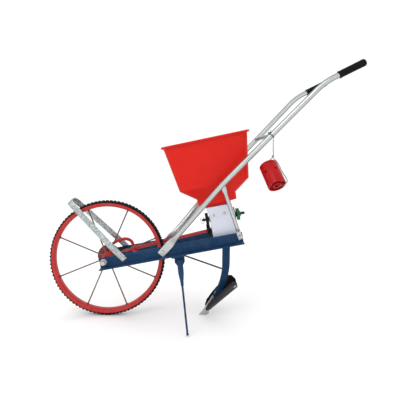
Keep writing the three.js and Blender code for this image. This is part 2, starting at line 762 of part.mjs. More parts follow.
function hopperBody() {
  const { levels, wall, throat, rim } = hopper;
  const [bottom, , shoulder, neck, flare, top] = levels;
  const loft = (rows, shrink) => rows.slice(1)
    .map((row, i) => solid(taper([rows[i][0] - 0.01, rows[i][1], rows[i][2]], row, shrink)))
    .reduce((body, part) => body.add(part));
  const outer = loft(levels, 0);
  const rimTop = rim.level + rim.height;
  const [edgeLength, edgeWidth] = [top[1] + rim.overhang, top[2] + rim.overhang];
  const edge = loft([[rim.level, edgeLength, edgeWidth], [rimTop, edgeLength, edgeWidth]], 0);
  const mouth = loft([[bottom[0] - 1, throat, throat], [shoulder[0] + wall + 1, throat, throat]], 0);
  const bowl = loft([
    [shoulder[0] + wall, shoulder[1], shoulder[2]],
    [neck[0] + wall / 2, neck[1], neck[2]],
    [flare[0] + wall / 2, flare[1], flare[2]],
    [rimTop + 1, top[1], top[2]],
  ], wall);
  return geometryOf(outer.add(edge).subtract(mouth).subtract(bowl));
}
place(hopperFrame, "hopper", hopperBody(), redPlastic);

// ---- seed tube (shank) ----
function shankOutline(inset) {
  const front = [];
  const rear = [];
  const { top } = shank;
  const centre = shank.front + shank.width / 2;
  const steps = 10;
  front.push([shank.front + inset, top]);
  rear.push([shank.front + shank.width - inset, top]);
  for (let i = 0; i <= steps; i++) {
    const turn = (shank.bendAngle * i) / steps;
    const x = centre - shank.bendRadius * (1 - Math.cos(turn));
    const z = shank.bendStart - shank.bendRadius * Math.sin(turn);
    const halfWidth = (shank.width + (shank.tipWidth - shank.width) * (i / steps)) / 2 - inset;
    const [across, down] = [halfWidth * Math.cos(turn), halfWidth * Math.sin(turn)];
    front.push([x - across, z + down]);
    rear.push([x + across, z - down]);
  }
  return outline([...front, ...rear.reverse()]);
}
function shankTube() {
  const outer = standUp(plate(shankOutline(0), shank.depth), shank.depth);
  const innerDepth = shank.depth - 2 * shank.wall;
  const inner = standUp(plate(shankOutline(shank.wall), innerDepth), innerDepth);
  const mouth = inner.clone().translate(0, 0, 20);
  const endDirection = [-Math.sin(shank.bendAngle), -Math.cos(shank.bendAngle)];
  const outletWay = inner.clone().translate(4 * endDirection[0], 0, 4 * endDirection[1]);
  const body = [inner, mouth, outletWay].reduce((made, g) => made.subtract(solid(g)), solid(outer));
  // The top is cut to lie under the deck plate.
  const trim = block([-200, -50, deckTop - deckSteel - gap], [900, 50, deckTop + 200]);
  trim.rotateY(-beams.tilt).translate(0, 0, wheel.radius);
  return geometryOf(body.subtract(solid(trim)));
}
place(machine, "shank", shankTube(), bluePaint);

// Brace rod from the front of the deck region down to the shank.
const braceRun = [brace.rear[0] - brace.front[0], 0, brace.rear[1] - brace.front[1]];
const braceLength = Math.hypot(...braceRun);
const braceGroup = alongAxis(machine, [brace.front[0], 0, brace.front[1]], braceRun, [0, 0, 1]);
place(braceGroup, "brace_rod", bar("z", brace.diameter / 2, 0, braceLength - 0.6, [0, 0, 0], 12), darkSteel);

// Cross bar between the beams, with the lug that the brace rod meets.
const crossBar = toChassis(...brace.front);
const barAt = crossBar[0];
const barUnder = 0.5 - beams.below;
const crossBarPiece = block([barAt - 30, -deckHalf, barUnder], [barAt + 2, deckHalf, barUnder + 4]);
const lug = block([barAt - 12, -7, -beams.below - 12], [barAt - 5, 7, -beams.below + 1]);
place(chassis, "cross_bar", join(crossBarPiece, lug), bluePaint);

// ---- furrow opener ----
// A leaf of the V: local x runs up the keel and the plate leans outwards from it.
function leaf(side, inside, outer) {
  const { boltAt, boltSquare, keel } = opener;
  const slab = plate(outline(opener.outline), outer - inside).translate(0, 0, -outer);
  const [along, up] = boltAt;
  const square = block([-boltSquare, -boltSquare, -50], [boltSquare, boltSquare, 50]).translate(along, up, 0);
  const made = cut(slab, square);
  made.rotateX(Math.PI / 2 - opener.splay).translate(0, opener.keelHalf, 0);
  made.rotateY(-opener.keelAngle).translate(keel[0], 0, keel[1]);
  return side < 0 ? mirrorY(made) : made;
}

function mirrorY(geometry) {
  const { position } = geometry.attributes;
  for (let i = 0; i < position.count; i++) position.setY(i, -position.getY(i));
  const index = geometry.index.array;
  for (let i = 0; i < index.length; i += 3) {
    [index[i + 1], index[i + 2]] = [index[i + 2], index[i + 1]];
  }
  return geometry;
}
place(machine, "wing_left", leaf(-1, 0, opener.steel), blackSteel);
place(machine, "wing_right", leaf(1, 0, opener.steel), blackSteel);

// The point: a slab on the centre plane, cut to lie inside the V and sharpened towards its tip.
function openerPoint() {
  const slab = standUp(plate(outline(opener.point), opener.pointWidth), opener.pointWidth);
  const tip = opener.point[0][0];
  const oneSide = () => block([-20, 0, -10], [80, 40, 120]).rotateZ(-opener.sharpen).translate(tip, 1, 0);
  const sharpen = [oneSide(), mirrorY(oneSide())];
  const beds = [-1, 1].map((side) => leaf(side, -gap, opener.steel + 20));
  return cut(slab, ...sharpen, ...beds);
}
place(machine, "opener_point", openerPoint(), brightSteel);

// ---- handles ----
const v3 = (x, y, z) => new THREE.Vector3(x, y, z);
const handleLowY = outsideWeb + handle.tube / 2;
// Distance from the centre plane along the leaning part of a handle, worked out from its length so far.
const kinkRun = Math.hypot(handle.kink[0] - handle.flare[0], handle.kink[1] - handle.flare[1]);
const upperRun = Math.hypot(handle.bend[0] - handle.kink[0], handle.bend[1] - handle.kink[1]);
const kinkY = handleLowY + ((handle.bendHalf - handleLowY) * kinkRun) / (kinkRun + upperRun);
const onUpperTube = (x) => {
  const share = (x - handle.kink[0]) / (handle.bend[0] - handle.kink[0]);
  const y = kinkY + share * (handle.bendHalf - kinkY);
  return [x, y, handle.kink[1] + share * (handle.bend[1] - handle.kink[1])];
};

function handlePath(side) {
  return [
    v3(handle.lowEnd[0], side * handleLowY, handle.lowEnd[1]),
    v3(handle.flare[0], side * handleLowY, handle.flare[1]),
    v3(handle.kink[0], side * kinkY, handle.kink[1]),
    v3(handle.bend[0], side * handle.bendHalf, handle.bend[1]),
    v3(handle.end[0], side * handle.gripHalf, handle.end[1]),
  ];
}

// Squashes the end of a tube: thin across and wide the other way, one side (the face) left in its place.
function flattenEnd(geometry, end, along, across, face, size, length) {
  const { tube, flat, width } = size;
  const wide = along.clone().cross(across).normalize();
  const position = geometry.attributes.position;
  const point = new THREE.Vector3();
  for (let i = 0; i < position.count; i++) {
    point.fromBufferAttribute(position, i).sub(end);
    const run = point.dot(along);
    if (run < length) {
      const share = THREE.MathUtils.smoothstep(1 - run / length, 0, 0.45);
      const still = (face * tube) / 2;
      const thinner = still + (point.dot(across) - still) * (1 - share * (1 - flat / tube));
      const wider = point.dot(wide) * (1 + share * (width / tube - 1));
      point.copy(end).addScaledVector(along, run);
      point.addScaledVector(across, thinner).addScaledVector(wide, wider);
      position.setXYZ(i, point.x, point.y, point.z);
    }
  }
  return geometry;
}

function handleTube(side) {
  const points = handlePath(side);
  const path = roundedPath(points, [30, 50, handle.bendRadius / 2]);
  const raw = tubeAlong(path, handle.tube / 2, 46, 10);
  const along = points[1].clone().sub(points[0]).normalize();
  const size = { tube: handle.tube, flat: handle.flatThickness, width: handle.flatWidth };
  flattenEnd(raw, points[0], along, v3(0, 1, 0), -side, size, handle.flatLength);
  const [x, z] = handleBoltWorld;
  const overFlange = block([-300, -400, -100], [600, 400, beams.steel - beams.below + gap])
    .rotateY(-beams.tilt).translate(0, 0, wheel.radius);
  return cut(raw, bar("y", holeRadius, -300, 300, [x, 0, z], 16), overFlange);
}

const crossAt = onUpperTube(crossBrace.station);
const strutTop = [strut.topX, kinkY, handle.kink[1] + strut.topRise];
for (const side of [-1, 1]) {
  const word = side < 0 ? "left" : "right";
  place(machine, `handle_${word}`, handleTube(side), galvanised);
  const points = handlePath(side);
  const inward = points[3].clone().sub(points[4]);
  const gripLine = alongAxis(machine, points[4].toArray(), inward.toArray(), [0, 0, 1]);
  const bore = handle.tube / 2 + gap;
  const outer = grip.diameter / 2;
  const mouth = grip.length - 6;
  place(gripLine, `grip_${word}`, lathe([
    [0, -6], [outer - 5, -6], [outer, -2], [outer, 3], [outer - 1.2, 6], [outer - 1.2, mouth - 8],
    [outer + 1, mouth - 4], [outer + 1, mouth], [bore, mouth], [bore, -gap], [0, -gap],
  ], 24).rotateX(Math.PI / 2), rubber);
}
const braceHalf = crossAt[1] - handle.tube / 2 - 2.5;
const braceCentre = [crossAt[0], 0, crossAt[2]];
const braceCollar = (start) => {
  const end = start + crossBrace.collarLength;
  return bar("y", crossBrace.collar / 2, start, end, braceCentre, 20);
};
place(machine, "cross_brace", join(
  bar("y", crossBrace.diameter / 2, -braceHalf, braceHalf, braceCentre, 16),
  braceCollar(-braceHalf),
  braceCollar(braceHalf - crossBrace.collarLength),
), galvanised);

// ---- hopper struts ----
function strutTube(side) {
  const low = chassis.localToWorld(v3(strut.lowStation, 0, strut.lowHeight));
  const from = v3(low.x, side * (outsideWeb + strut.diameter / 2 + 1), low.z);
  const topY = strutTop[1] - handle.tube / 2 - gap - strut.diameter / 2 - 1;
  const to = v3(strutTop[0], side * topY, strutTop[2]);
  const along = to.clone().sub(from).normalize();
  const start = from.clone().addScaledVector(along, -12);
  const end = to.clone().addScaledVector(along, 9);
  const raw = tubeAlong(new THREE.LineCurve3(start, end), strut.diameter / 2, 14, 10);
  const across = v3(0, 1, 0).addScaledVector(along, -along.y).normalize();
  const size = { tube: strut.diameter, flat: strut.flat, width: strut.flatWidth };
  flattenEnd(raw, start, along, across, -side, size, strut.flatLength * 2);
  flattenEnd(raw, end, along.clone().negate(), across, side, size, strut.flatLength * 2);
  return cut(raw, bar("y", holeRadius, -200, 200, [from.x, 0, from.z], 16));
}
seeder.updateMatrixWorld(true);
place(machine, "strut_left", strutTube(-1), galvanised);
place(machine, "strut_right", strutTube(1), galvanised);

// ---- side stand ----
const pivot = v3(stand.pivotBehind, -beams.halfSpan - stand.pivotOutside, wheel.radius + stand.pivotRise);
const standFoot = v3(stand.footBehind, -beams.halfSpan - stand.footOutside, 0);
const legUp = pivot.clone().sub(standFoot).normalize();
const forward = v3(-Math.cos(beams.tilt), -0.1, -Math.sin(beams.tilt)).normalize();
// Turning about this axis folds the leg forwards.
const foldAxis = legUp.clone().negate().cross(forward).normalize();
const standGroup = new THREE.Group(); // local z up the leg, local y along the pivot bolt
const standBasis = new THREE.Matrix4().makeBasis(foldAxis.clone().cross(legUp), foldAxis, legUp);
standGroup.quaternion.setFromRotationMatrix(standBasis);
standGroup.position.copy(pivot);
machine.add(standGroup);
const legLength = pivot.distanceTo(standFoot);
const atPivot = (geometry) => geometry.applyQuaternion(standGroup.quaternion).translate(...pivot.toArray());

// From the frame of the beams to the machine's own.
const onMachine = (geometry) => geometry.rotateY(-beams.tilt).translate(0, 0, wheel.radius);

function standBracket() {
  const earHalf = stand.ear / 2;
  const shape = outline([
    [-earHalf, 50], [-earHalf, 4], [-10, -14], [10, -14], [earHalf, 4], [earHalf, 50],
  ]);
  const ear = standUp(plate(shape, stand.steel), stand.steel).translate(0, stand.steel / 2 + gap, 0);
  const hole = bar("y", stand.boltDiameter / 2 + gap, -30, 30, [0, 0, 0], 16);
  const earBody = atPivot(cut(ear, hole));
  // The base plate is placed in the frame of the beams, above the ear.
  const baseAt = toChassis(pivot.x, pivot.z)[0];
  const under = -beams.below - gap;
  const base = onMachine(block([baseAt - 30, -webInner - beams.flange + 2, under - 5],
    [baseAt + 30, -webInner - 2, under]));
  const above = onMachine(block([-100, -400, under], [800, 0, 200]));
  return join(cut(earBody, above), base);
}
place(machine, "stand_bracket", standBracket(), bluePaint);

function standLeg() {
  const width = stand.head / 2;
  const waist = stand.rod / 2 + 2;
  const shape = outline([
    [-width, 9], [-width, -stand.blade], [-waist, -stand.taper], [waist, -stand.taper],
    [width, -stand.blade], [width, 9], [6, 14], [-6, 14],
  ]);
  const head = standUp(plate(shape, stand.steel), stand.steel).translate(0, -stand.steel / 2 - gap, 0);
  const hole = bar("y", stand.boltDiameter / 2 + gap, -30, 30, [0, 0, 0], 16);
  const tipStart = 6 - legLength;
  const rodAt = [0, -stand.steel / 2 - gap, 0];
  const rod = bar("z", stand.rod / 2, tipStart, 15 - stand.taper, rodAt, 12);
  const collar = bar("z", waist, -stand.taper - 8, 4 - stand.taper, rodAt, 12);
  const tip = bar("z", stand.rod / 2 + 1, -legLength - 3, tipStart + 8, rodAt, 12);
  const made = join(cut(head, hole), rod, collar, tip);
  const ground = block([-100, -500, -60], [800, 100, 0]);
  return cut(atPivot(made), ground);
}
place(machine, "stand_leg", standLeg(), bluePaint);
const standStack = 2 * stand.steel + 4 * gap;
const standBolt = boltAndNut(stand.boltDiameter, standStack).translate(0, 0, -standStack / 2);
place(standGroup, "stand_bolt", standBolt.rotateX(-Math.PI / 2), zinc);

// ---- spare seed roller on its twine ----
const hangAt = onUpperTube(spare.station);
const [kinkPoint, bendPoint] = handlePath(-1).slice(2, 4);
const tubeSlope = bendPoint.clone().sub(kinkPoint).normalize();
const twineRadius = twineDiameter / 2;
const wrapRadius = handle.tube / 2 + gap + twineRadius + 0.2;
const wrapCentre = v3(hangAt[0], -hangAt[1], hangAt[2]);
const wrapLine = alongAxis(machine, wrapCentre.toArray(), tubeSlope.toArray(), [0, 0, -1]);
const wrapSides = 8;
const wrap = [];
for (let i = 0; i < wrapSides; i++) {
  const angle = (2 * Math.PI * i) / wrapSides;
  wrap.push([wrapRadius + twineRadius * Math.cos(angle), twineRadius * Math.sin(angle)]);
}
place(wrapLine, "twine_tie", lathe([...wrap, wrap[0]], 28).rotateX(Math.PI / 2), twineFibre);

const hang = wrapCentre.clone();
hang.z -= wrapRadius / Math.cos(Math.asin(tubeSlope.z)) + twineRadius + gap + 0.6;
const rollerAxis = v3(...spare.axis).normalize();
const rollerCentre = v3(hang.x, hang.y, wrapCentre.z - spare.centreDrop);
// Local x is the roller's upper side.
const rollerGroup = alongAxis(machine, rollerCentre.toArray(), rollerAxis.toArray(), [0, 0, 1]);
place(rollerGroup, "spare_roller", seedRoller(spare.bore), redPlastic);

rollerGroup.updateMatrix();
const onRoller = (x, y, z) => v3(x, y, z).applyMatrix4(rollerGroup.matrix);
const [besideX, besideY] = [Math.cos(spare.twineTurn), -Math.sin(spare.twineTurn)];
const beside = (out, along) => onRoller(out * besideX, out * besideY, along);
const knot = v3(hang.x, hang.y, wrapCentre.z - spare.knotDrop);
const halfLength = rollerSize.length / 2;
const sideRun = rollerSize.diameter / 2 + twineRadius + 1.5;
const twineRoute = [
  hang, v3(hang.x, hang.y, (hang.z + knot.z) / 2), knot,
  onRoller(14, 0, -halfLength - 8), onRoller(4, 0, -halfLength + 6), onRoller(4, 0, 0),
  onRoller(4, 0, halfLength - 4),
  beside(10, halfLength + 5), beside(28, halfLength + 7), beside(sideRun + 2, halfLength - 1),
  beside(sideRun, 0), beside(sideRun, -halfLength + 20),
];
const lastLeg = twineRoute.at(-1).clone().lerp(knot, 0.5);
twineRoute.push(lastLeg, knot.clone().add(v3(0.5, 4.2, -6)));
const twineCurve = new THREE.CatmullRomCurve3(twineRoute, false, "centripetal");
place(machine, "twine", tubeAlong(twineCurve, twineRadius, 44, 6), twineFibre);

// ---- the origin: under the middle of the whole machine, on the ground ----
seeder.updateMatrixWorld(true);
const extent = new THREE.Box3().setFromObject(seeder, true);
machine.position.x = -(extent.min.x + extent.max.x) / 2;

export default seeder;
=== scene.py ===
# Push seeder: the looks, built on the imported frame. Metres, +Z up, +X to the rear, -Y is the machine's left.
import math
import bmesh
import bpy
from mathutils import Matrix, Vector


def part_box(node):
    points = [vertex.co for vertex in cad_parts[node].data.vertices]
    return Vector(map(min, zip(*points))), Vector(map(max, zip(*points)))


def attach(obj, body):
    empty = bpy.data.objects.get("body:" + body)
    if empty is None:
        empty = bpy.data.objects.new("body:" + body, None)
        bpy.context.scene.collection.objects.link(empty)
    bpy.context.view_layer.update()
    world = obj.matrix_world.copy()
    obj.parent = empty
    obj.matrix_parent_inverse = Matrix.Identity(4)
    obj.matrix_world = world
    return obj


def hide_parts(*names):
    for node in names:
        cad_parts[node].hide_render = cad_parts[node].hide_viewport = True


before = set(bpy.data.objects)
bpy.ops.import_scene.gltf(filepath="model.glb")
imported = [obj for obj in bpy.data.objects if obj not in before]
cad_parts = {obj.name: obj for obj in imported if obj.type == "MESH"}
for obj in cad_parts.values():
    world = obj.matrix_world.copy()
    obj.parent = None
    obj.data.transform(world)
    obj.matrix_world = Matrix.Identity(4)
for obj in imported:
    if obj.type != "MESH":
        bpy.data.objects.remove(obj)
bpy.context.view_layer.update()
mm = 0.001


def centreOf(node):
    low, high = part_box(node)
    return (low + high) / 2


axle = centreOf("axle")  # the machine is laid out from the axle


def fromAxle(x, y, z):  # millimetres behind the axle, to the right, and above the ground
    return Vector((axle.x + x * mm, y * mm, z * mm))


beamTilt = math.radians(11)


def onBeam(station, across, height):  # millimetres along the beams, across, and square to them
    c, s = math.cos(beamTilt), math.sin(beamTilt)
    return axle + Vector((station * c - height * s, across, station * s + height * c)) * mm


print("camera")
view = {
    "behindAxle": 359.1, "side": -1826, "height": 706.0,
    "yaw": 1.387, "pitch": 1.872, "roll": 0.8, "lens": 37.17, "shift": -0.075,
}


def makeCamera():
    yaw, pitch, roll = (math.radians(view[k]) for k in ("yaw", "pitch", "roll"))
    ahead = Vector((math.sin(yaw) * math.cos(pitch), math.cos(yaw) * math.cos(pitch), -math.sin(pitch)))
    right = Vector((math.cos(yaw), -math.sin(yaw), 0))
    up = right.cross(ahead)
    side = right * math.cos(roll) + up * math.sin(roll)
    top = up * math.cos(roll) - right * math.sin(roll)
    data = bpy.data.cameras.new("camera")
    data.lens = view["lens"]
    data.sensor_width = 36
    data.shift_y = view["shift"]
    data.clip_end = 60
    camera = bpy.data.objects.new("camera", data)
    turn = Matrix((side, top, -ahead)).transposed().to_4x4()
    eye = fromAxle(view["behindAxle"], view["side"], view["height"])
    camera.matrix_world = Matrix.Translation(eye) @ turn
    bpy.context.scene.collection.objects.link(camera)
    bpy.context.scene.camera = camera


makeCamera()


# ---- shader maths ----
class Wire:  # a socket in a node tree, with arithmetic
    def __init__(self, shader, socket):
        self.shader = shader
        self.socket = socket

    def math(self, operation, a, b):
        return self.shader.node("ShaderNodeMath", {"operation": operation}, {0: a, 1: b})[0]

    def __add__(self, other):
        return self.math("ADD", self, other)

    def __sub__(self, other):
        return self.math("SUBTRACT", self, other)

    def __mul__(self, other):
        return self.math("MULTIPLY", self, other)


class Shader:  # one material's nodes
    def __init__(self, name):
        self.material = bpy.data.materials.new(name)
        self.material.use_nodes = True
        self.tree = self.material.node_tree
        self.surface = next(n for n in self.tree.nodes if n.type == "BSDF_PRINCIPLED")
        coordinates = self.node("ShaderNodeTexCoord", {}, {})
        self.place = coordinates["Object"]
        self.uv = coordinates["UV"]

    def put(self, socket, value):
        if isinstance(value, Wire):
            self.tree.links.new(value.socket, socket)
        else:
            socket.default_value = value

    def node(self, kind, settings, inputs):
        made = self.tree.nodes.new(kind)
        for name, value in settings.items():
            if name == "stops":
                ramp = made.color_ramp
                while len(ramp.elements) < len(value):
                    ramp.elements.new(0.5)
                for element, (position, level) in zip(ramp.elements, value):
                    element.position = position
                    element.color = (level, level, level, 1)
            else:
                setattr(made, name, value)
        for key, value in inputs.items():
            self.put(made.inputs[key], value)
        return Outputs(self, made)

    def noise(self, scale, detail=4, rough=0.6, where=None):
        values = {"Vector": where or self.place, "Scale": scale, "Detail": detail, "Roughness": rough}
        return self.node("ShaderNodeTexNoise", {}, values)["Fac"]

    def ramp(self, value, low, high, first=0.0, last=1.0):
        return self.node("ShaderNodeValToRGB", {"stops": [(low, first), (high, last)]}, {0: value})[0]

    def mix(self, amount, a, b):
        node = self.tree.nodes.new("ShaderNodeMix")
        node.data_type = "RGBA"
        for socket, value in zip((node.inputs[0], node.inputs[6], node.inputs[7]), (amount, a, b)):
            self.put(socket, value)
        return Wire(self, node.outputs[2])

    def stretched(self, scale):
        return self.node("ShaderNodeMapping", {}, {"Vector": self.place, "Scale": scale})[0]

    def bump(self, height, strength, distance):
        values = {"Height": height, "Strength": strength, "Distance": distance}
        return self.node("ShaderNodeBump", {}, values)["Normal"]

    def finish(self, **sockets):
        for name, value in sockets.items():
            self.put(self.surface.inputs[name.replace("_", " ")], value)
        return self.material


class Outputs:  # the outputs of a node, by number or name
    def __init__(self, shader, made):
        self.shader = shader
        self.made = made

    def __getitem__(self, key):
        return Wire(self.shader, self.made.outputs[key])


def rgb(r, g, b):
    return (r, g, b, 1)


print("materials")


def enamel(name, look):
    s = Shader(name)
    cloud = s.noise(9, 3)
    chips = s.ramp(s.noise(140, 6, 0.75), 0.70, 0.73)
    dust = s.ramp(s.noise(34, 8, 0.7), 0.42, 0.8)
    base = s.mix(cloud, look["dark"], look["light"])
    worn = s.mix(dust * look["dust"], base, rgb(0.42, 0.37, 0.3))
    chipped = s.mix(chips * look["chips"], worn, rgb(0.07, 0.05, 0.045))
    peel = s.noise(620, 2, 0.5) * 0.5 + s.noise(90, 3) * 0.5 - chips * 0.6
    return s.finish(
        Base_Color=chipped, Metallic=chips * 0.3, Roughness=dust * 0.22 + look["rough"],
        Specular_IOR_Level=look["shine"], Coat_Weight=look["coat"], Coat_Roughness=0.12,
        Normal=s.bump(peel, look["bump"], 0.0006))


def moulded(name, look):
    s = Shader(name)
    flow = s.noise(5, 2, where=s.stretched((1, 1, 3)))
    scuffs = s.ramp(s.noise(60, 7, 0.75, s.stretched((1, 1, 0.25))), 0.6, 0.72)
    base = s.mix(flow, look["dark"], look["light"])
    rubbed = s.mix(scuffs * look["scuff"], base, look["scuffed"])
    grain = s.noise(900, 2, 0.5) * 0.4 + s.noise(14, 2) * 0.6
    return s.finish(
        Base_Color=rubbed, Roughness=scuffs * 0.2 + s.noise(22, 4) * 0.08 + look["rough"],
        Specular_IOR_Level=look["shine"], Coat_Weight=look["coat"], Coat_Roughness=0.1,
        Normal=s.bump(grain, look["bump"], 0.0008))


def bareMetal(name, look):
    s = Shader(name)
    cells = s.node("ShaderNodeTexVoronoi", {}, {"Vector": s.place, "Scale": look["cells"]})
    spangle = s.node("ShaderNodeSeparateColor", {}, {0: cells["Color"]})[0]
    streaks = s.noise(120, 4, 0.6, s.stretched((0.3, 1, 0.3)))
    stains = s.ramp(s.noise(26, 7, 0.7), 0.55, 0.78)
    shade = s.mix(spangle * look["spangle"] + streaks * 0.25, look["dark"], look["light"])
    stained = s.mix(stains * look["stain"], shade, look["stained"])
    # The sides of a part that turn away from the view are mixed towards near black: painted shade along the
    # edges of tubes and parts, as strong as the look's edge value. The metallic weight drops there too, which
    # keeps the painted shade dark.
    facing = s.node("ShaderNodeLayerWeight", {}, {"Blend": 0.5})["Facing"]
    edge = s.ramp(facing, 0.12, 0.6, 0.0, look["edge"])
    withPaintedEdgeShade = s.mix(edge, stained, rgb(0.05, 0.06, 0.06))
    return s.finish(
        Base_Color=withPaintedEdgeShade, Metallic=edge * -0.9 + look["metal"],
        Roughness=spangle * 0.12 + stains * 0.2 + look["rough"],
        Normal=s.bump(streaks + spangle * 0.4, look["bump"], 0.0005))


def rubberFinish(name, look):
    s = Shader(name)
    dust = s.ramp(s.noise(48, 8, 0.7), 0.45, 0.75)
    base = s.mix(dust * look["dust"], look["dark"], look["dusty"])
    pores = s.noise(700, 3, 0.6) + s.noise(60, 3) * 0.6
    return s.finish(
        Base_Color=base, Roughness=dust * 0.15 + look["rough"], Specular_IOR_Level=look["shine"],
        Normal=s.bump(pores, look["bump"], 0.0006))


def twineFinish():
    s = Shader("twistedTwine")
    parts = s.node("ShaderNodeSeparateXYZ", {}, {0: s.uv})
    lay = s.node("ShaderNodeMath", {"operation": "SINE"}, {0: parts["X"] * 900 + parts["Y"] * 12.566})[0]
    strand = lay * 0.5 + 0.5
    fibres = s.noise(1400, 3, 0.7)
    tint = s.ramp(s.noise(30, 3), 0.42, 0.58)
    green = s.mix(tint, rgb(0.045, 0.2, 0.12), rgb(0.3, 0.32, 0.17))
    # Between the twisted strands the green is mixed towards near black: painted shade in the grooves of the
    # lay. The fibre noise adds a random tone.
    withPaintedGrooveShade = s.mix(strand * 0.7 + fibres * 0.3, s.mix(0.6, green, rgb(0.02, 0.03, 0.015)), green)
    return s.finish(
        Base_Color=withPaintedGrooveShade, Roughness=fibres * 0.1 + 0.82, Normal=s.bump(strand + fibres * 0.4, 0.8, 0.0008))


redEnamel = enamel("redEnamel", {
    "dark": rgb(0.36, 0.012, 0.014), "light": rgb(0.52, 0.026, 0.026),
    "dust": 0.12, "chips": 0.6, "rough": 0.36, "coat": 0.05, "bump": 0.25, "shine": 0.2})
# A darker copy of the red enamel: painted shade for the crown gear, which sits in shadow inside the wheel. Its
# chips and dust are wear.
redCastingPaintedShade = enamel("redCastingPaintedShade", {
    "dark": rgb(0.12, 0.006, 0.008), "light": rgb(0.22, 0.012, 0.014),
    "dust": 0.2, "chips": 0.9, "rough": 0.5, "coat": 0.05, "bump": 0.9, "shine": 0.3})
blueEnamel = enamel("blueEnamel", {
    "dark": rgb(0.002, 0.027, 0.080), "light": rgb(0.004, 0.044, 0.120),
    "dust": 0.07, "chips": 0.6, "rough": 0.36, "coat": 0.0, "bump": 0.3, "shine": 0.14})
blackEnamel = enamel("blackEnamel", {
    "dark": rgb(0.001, 0.0012, 0.003), "light": rgb(0.003, 0.0035, 0.006),
    "dust": 0.02, "chips": 0.25, "rough": 0.3, "coat": 0.0, "bump": 0.25, "shine": 0.1})
spokeEnamel = enamel("spokeEnamel", {
    "dark": rgb(0.075, 0.03, 0.028), "light": rgb(0.16, 0.08, 0.072),
    "dust": 0.3, "chips": 0.9, "rough": 0.42, "coat": 0.05, "bump": 0.4, "shine": 0.4})
hopperPlastic = moulded("hopperPlastic", {
    "dark": rgb(0.56, 0.010, 0.006), "light": rgb(0.70, 0.018, 0.010), "scuff": 0.06,
    "scuffed": rgb(0.72, 0.14, 0.1), "rough": 0.3, "coat": 0.0, "bump": 0.12, "shine": 0.14})
rollerPlastic = moulded("rollerPlastic", {
    "dark": rgb(0.30, 0.003, 0.005), "light": rgb(0.46, 0.006, 0.008), "scuff": 0.06,
    "scuffed": rgb(0.5, 0.06, 0.05), "rough": 0.26, "coat": 0.03, "bump": 0.12, "shine": 0.15})
whitePlastic = moulded("whitePlastic", {
    "dark": rgb(0.62, 0.65, 0.76), "light": rgb(0.74, 0.76, 0.85), "scuff": 0.14,
    "scuffed": rgb(0.42, 0.40, 0.38), "rough": 0.4, "coat": 0.05, "bump": 0.15, "shine": 0.35})
greenPlastic = moulded("greenPlastic", {
    "dark": rgb(0.004, 0.11, 0.035), "light": rgb(0.008, 0.19, 0.06), "scuff": 0.12,
    "scuffed": rgb(0.07, 0.28, 0.13), "rough": 0.38, "coat": 0.08, "bump": 0.2, "shine": 0.35})
blackPlastic = moulded("blackPlastic", {
    "dark": rgb(0.005, 0.005, 0.006), "light": rgb(0.012, 0.012, 0.014), "scuff": 0.2,
    "scuffed": rgb(0.05, 0.05, 0.055), "rough": 0.45, "coat": 0.0, "bump": 0.3, "shine": 0.12})
# In these metal looks, edge sets how strong the painted edge shade is on the sides turned from the view.
galvanised = bareMetal("galvanised", {
    "cells": 150, "spangle": 0.2, "dark": rgb(0.44, 0.47, 0.46), "light": rgb(0.74, 0.77, 0.75),
    "metal": 0.9, "edge": 0.95, "stain": 0.3, "stained": rgb(0.24, 0.25, 0.24), "rough": 0.24, "bump": 0.1})
galvanisedStrap = bareMetal("galvanisedStrap", {
    "cells": 240, "spangle": 0.75, "dark": rgb(0.20, 0.24, 0.25), "light": rgb(0.62, 0.67, 0.66),
    "metal": 0.7, "edge": 0.3, "stain": 0.5, "stained": rgb(0.18, 0.20, 0.19), "rough": 0.36, "bump": 0.35})
zincPlate = bareMetal("zincPlate", {
    "cells": 500, "spangle": 0.2, "dark": rgb(0.45, 0.46, 0.47), "light": rgb(0.78, 0.78, 0.77),
    "metal": 0.9, "edge": 0.7, "stain": 0.3, "stained": rgb(0.28, 0.26, 0.23), "rough": 0.24, "bump": 0.15})
oiledSteel = bareMetal("oiledSteel", {
    "cells": 320, "spangle": 0.3, "dark": rgb(0.010, 0.010, 0.012), "light": rgb(0.045, 0.045, 0.05),
    "metal": 0.75, "edge": 0.3, "stain": 0.5, "stained": rgb(0.06, 0.03, 0.02), "rough": 0.34, "bump": 0.4})
polishedSteel = bareMetal("polishedSteel", {
    "cells": 700, "spangle": 0.15, "dark": rgb(0.34, 0.34, 0.33), "light": rgb(0.78, 0.78, 0.75),
    "metal": 0.95, "edge": 0.5, "stain": 0.45, "stained": rgb(0.2, 0.19, 0.16), "rough": 0.2, "bump": 0.3})
tyreRubber = rubberFinish("tyreRubber", {
    "dark": rgb(0.006, 0.006, 0.0065), "dusty": rgb(0.07, 0.05, 0.038),
    "dust": 0.4, "rough": 0.72, "bump": 0.5, "shine": 0.1})
gripRubber = rubberFinish("gripRubber", {
    "dark": rgb(0.004, 0.004, 0.0045), "dusty": rgb(0.03, 0.03, 0.03),
    "dust": 0.3, "rough": 0.6, "bump": 0.4, "shine": 0.1})
twineFibre = twineFinish()


# ---- mesh tools ----
def newObject(name, vertices, faces):
    mesh = bpy.data.meshes.new(name)
    mesh.from_pydata([tuple(v) for v in vertices], [], faces)
    made = bpy.data.objects.new(name, mesh)
    bpy.context.scene.collection.objects.link(made)
    return made


def tidy(made, merge=1e-6):  # merges doubles and turns every face outwards
    shape = bmesh.new()
    shape.from_mesh(made.data)
    bmesh.ops.remove_doubles(shape, verts=shape.verts, dist=merge)
    bmesh.ops.recalc_face_normals(shape, faces=shape.faces)
    shape.to_mesh(made.data)
    shape.free()
    return made


def plain(made):  # modifiers worked into the mesh
    graph = bpy.context.evaluated_depsgraph_get()
    mesh = bpy.data.meshes.new_from_object(made.evaluated_get(graph))
    made.modifiers.clear()
    made.data = mesh
    return made


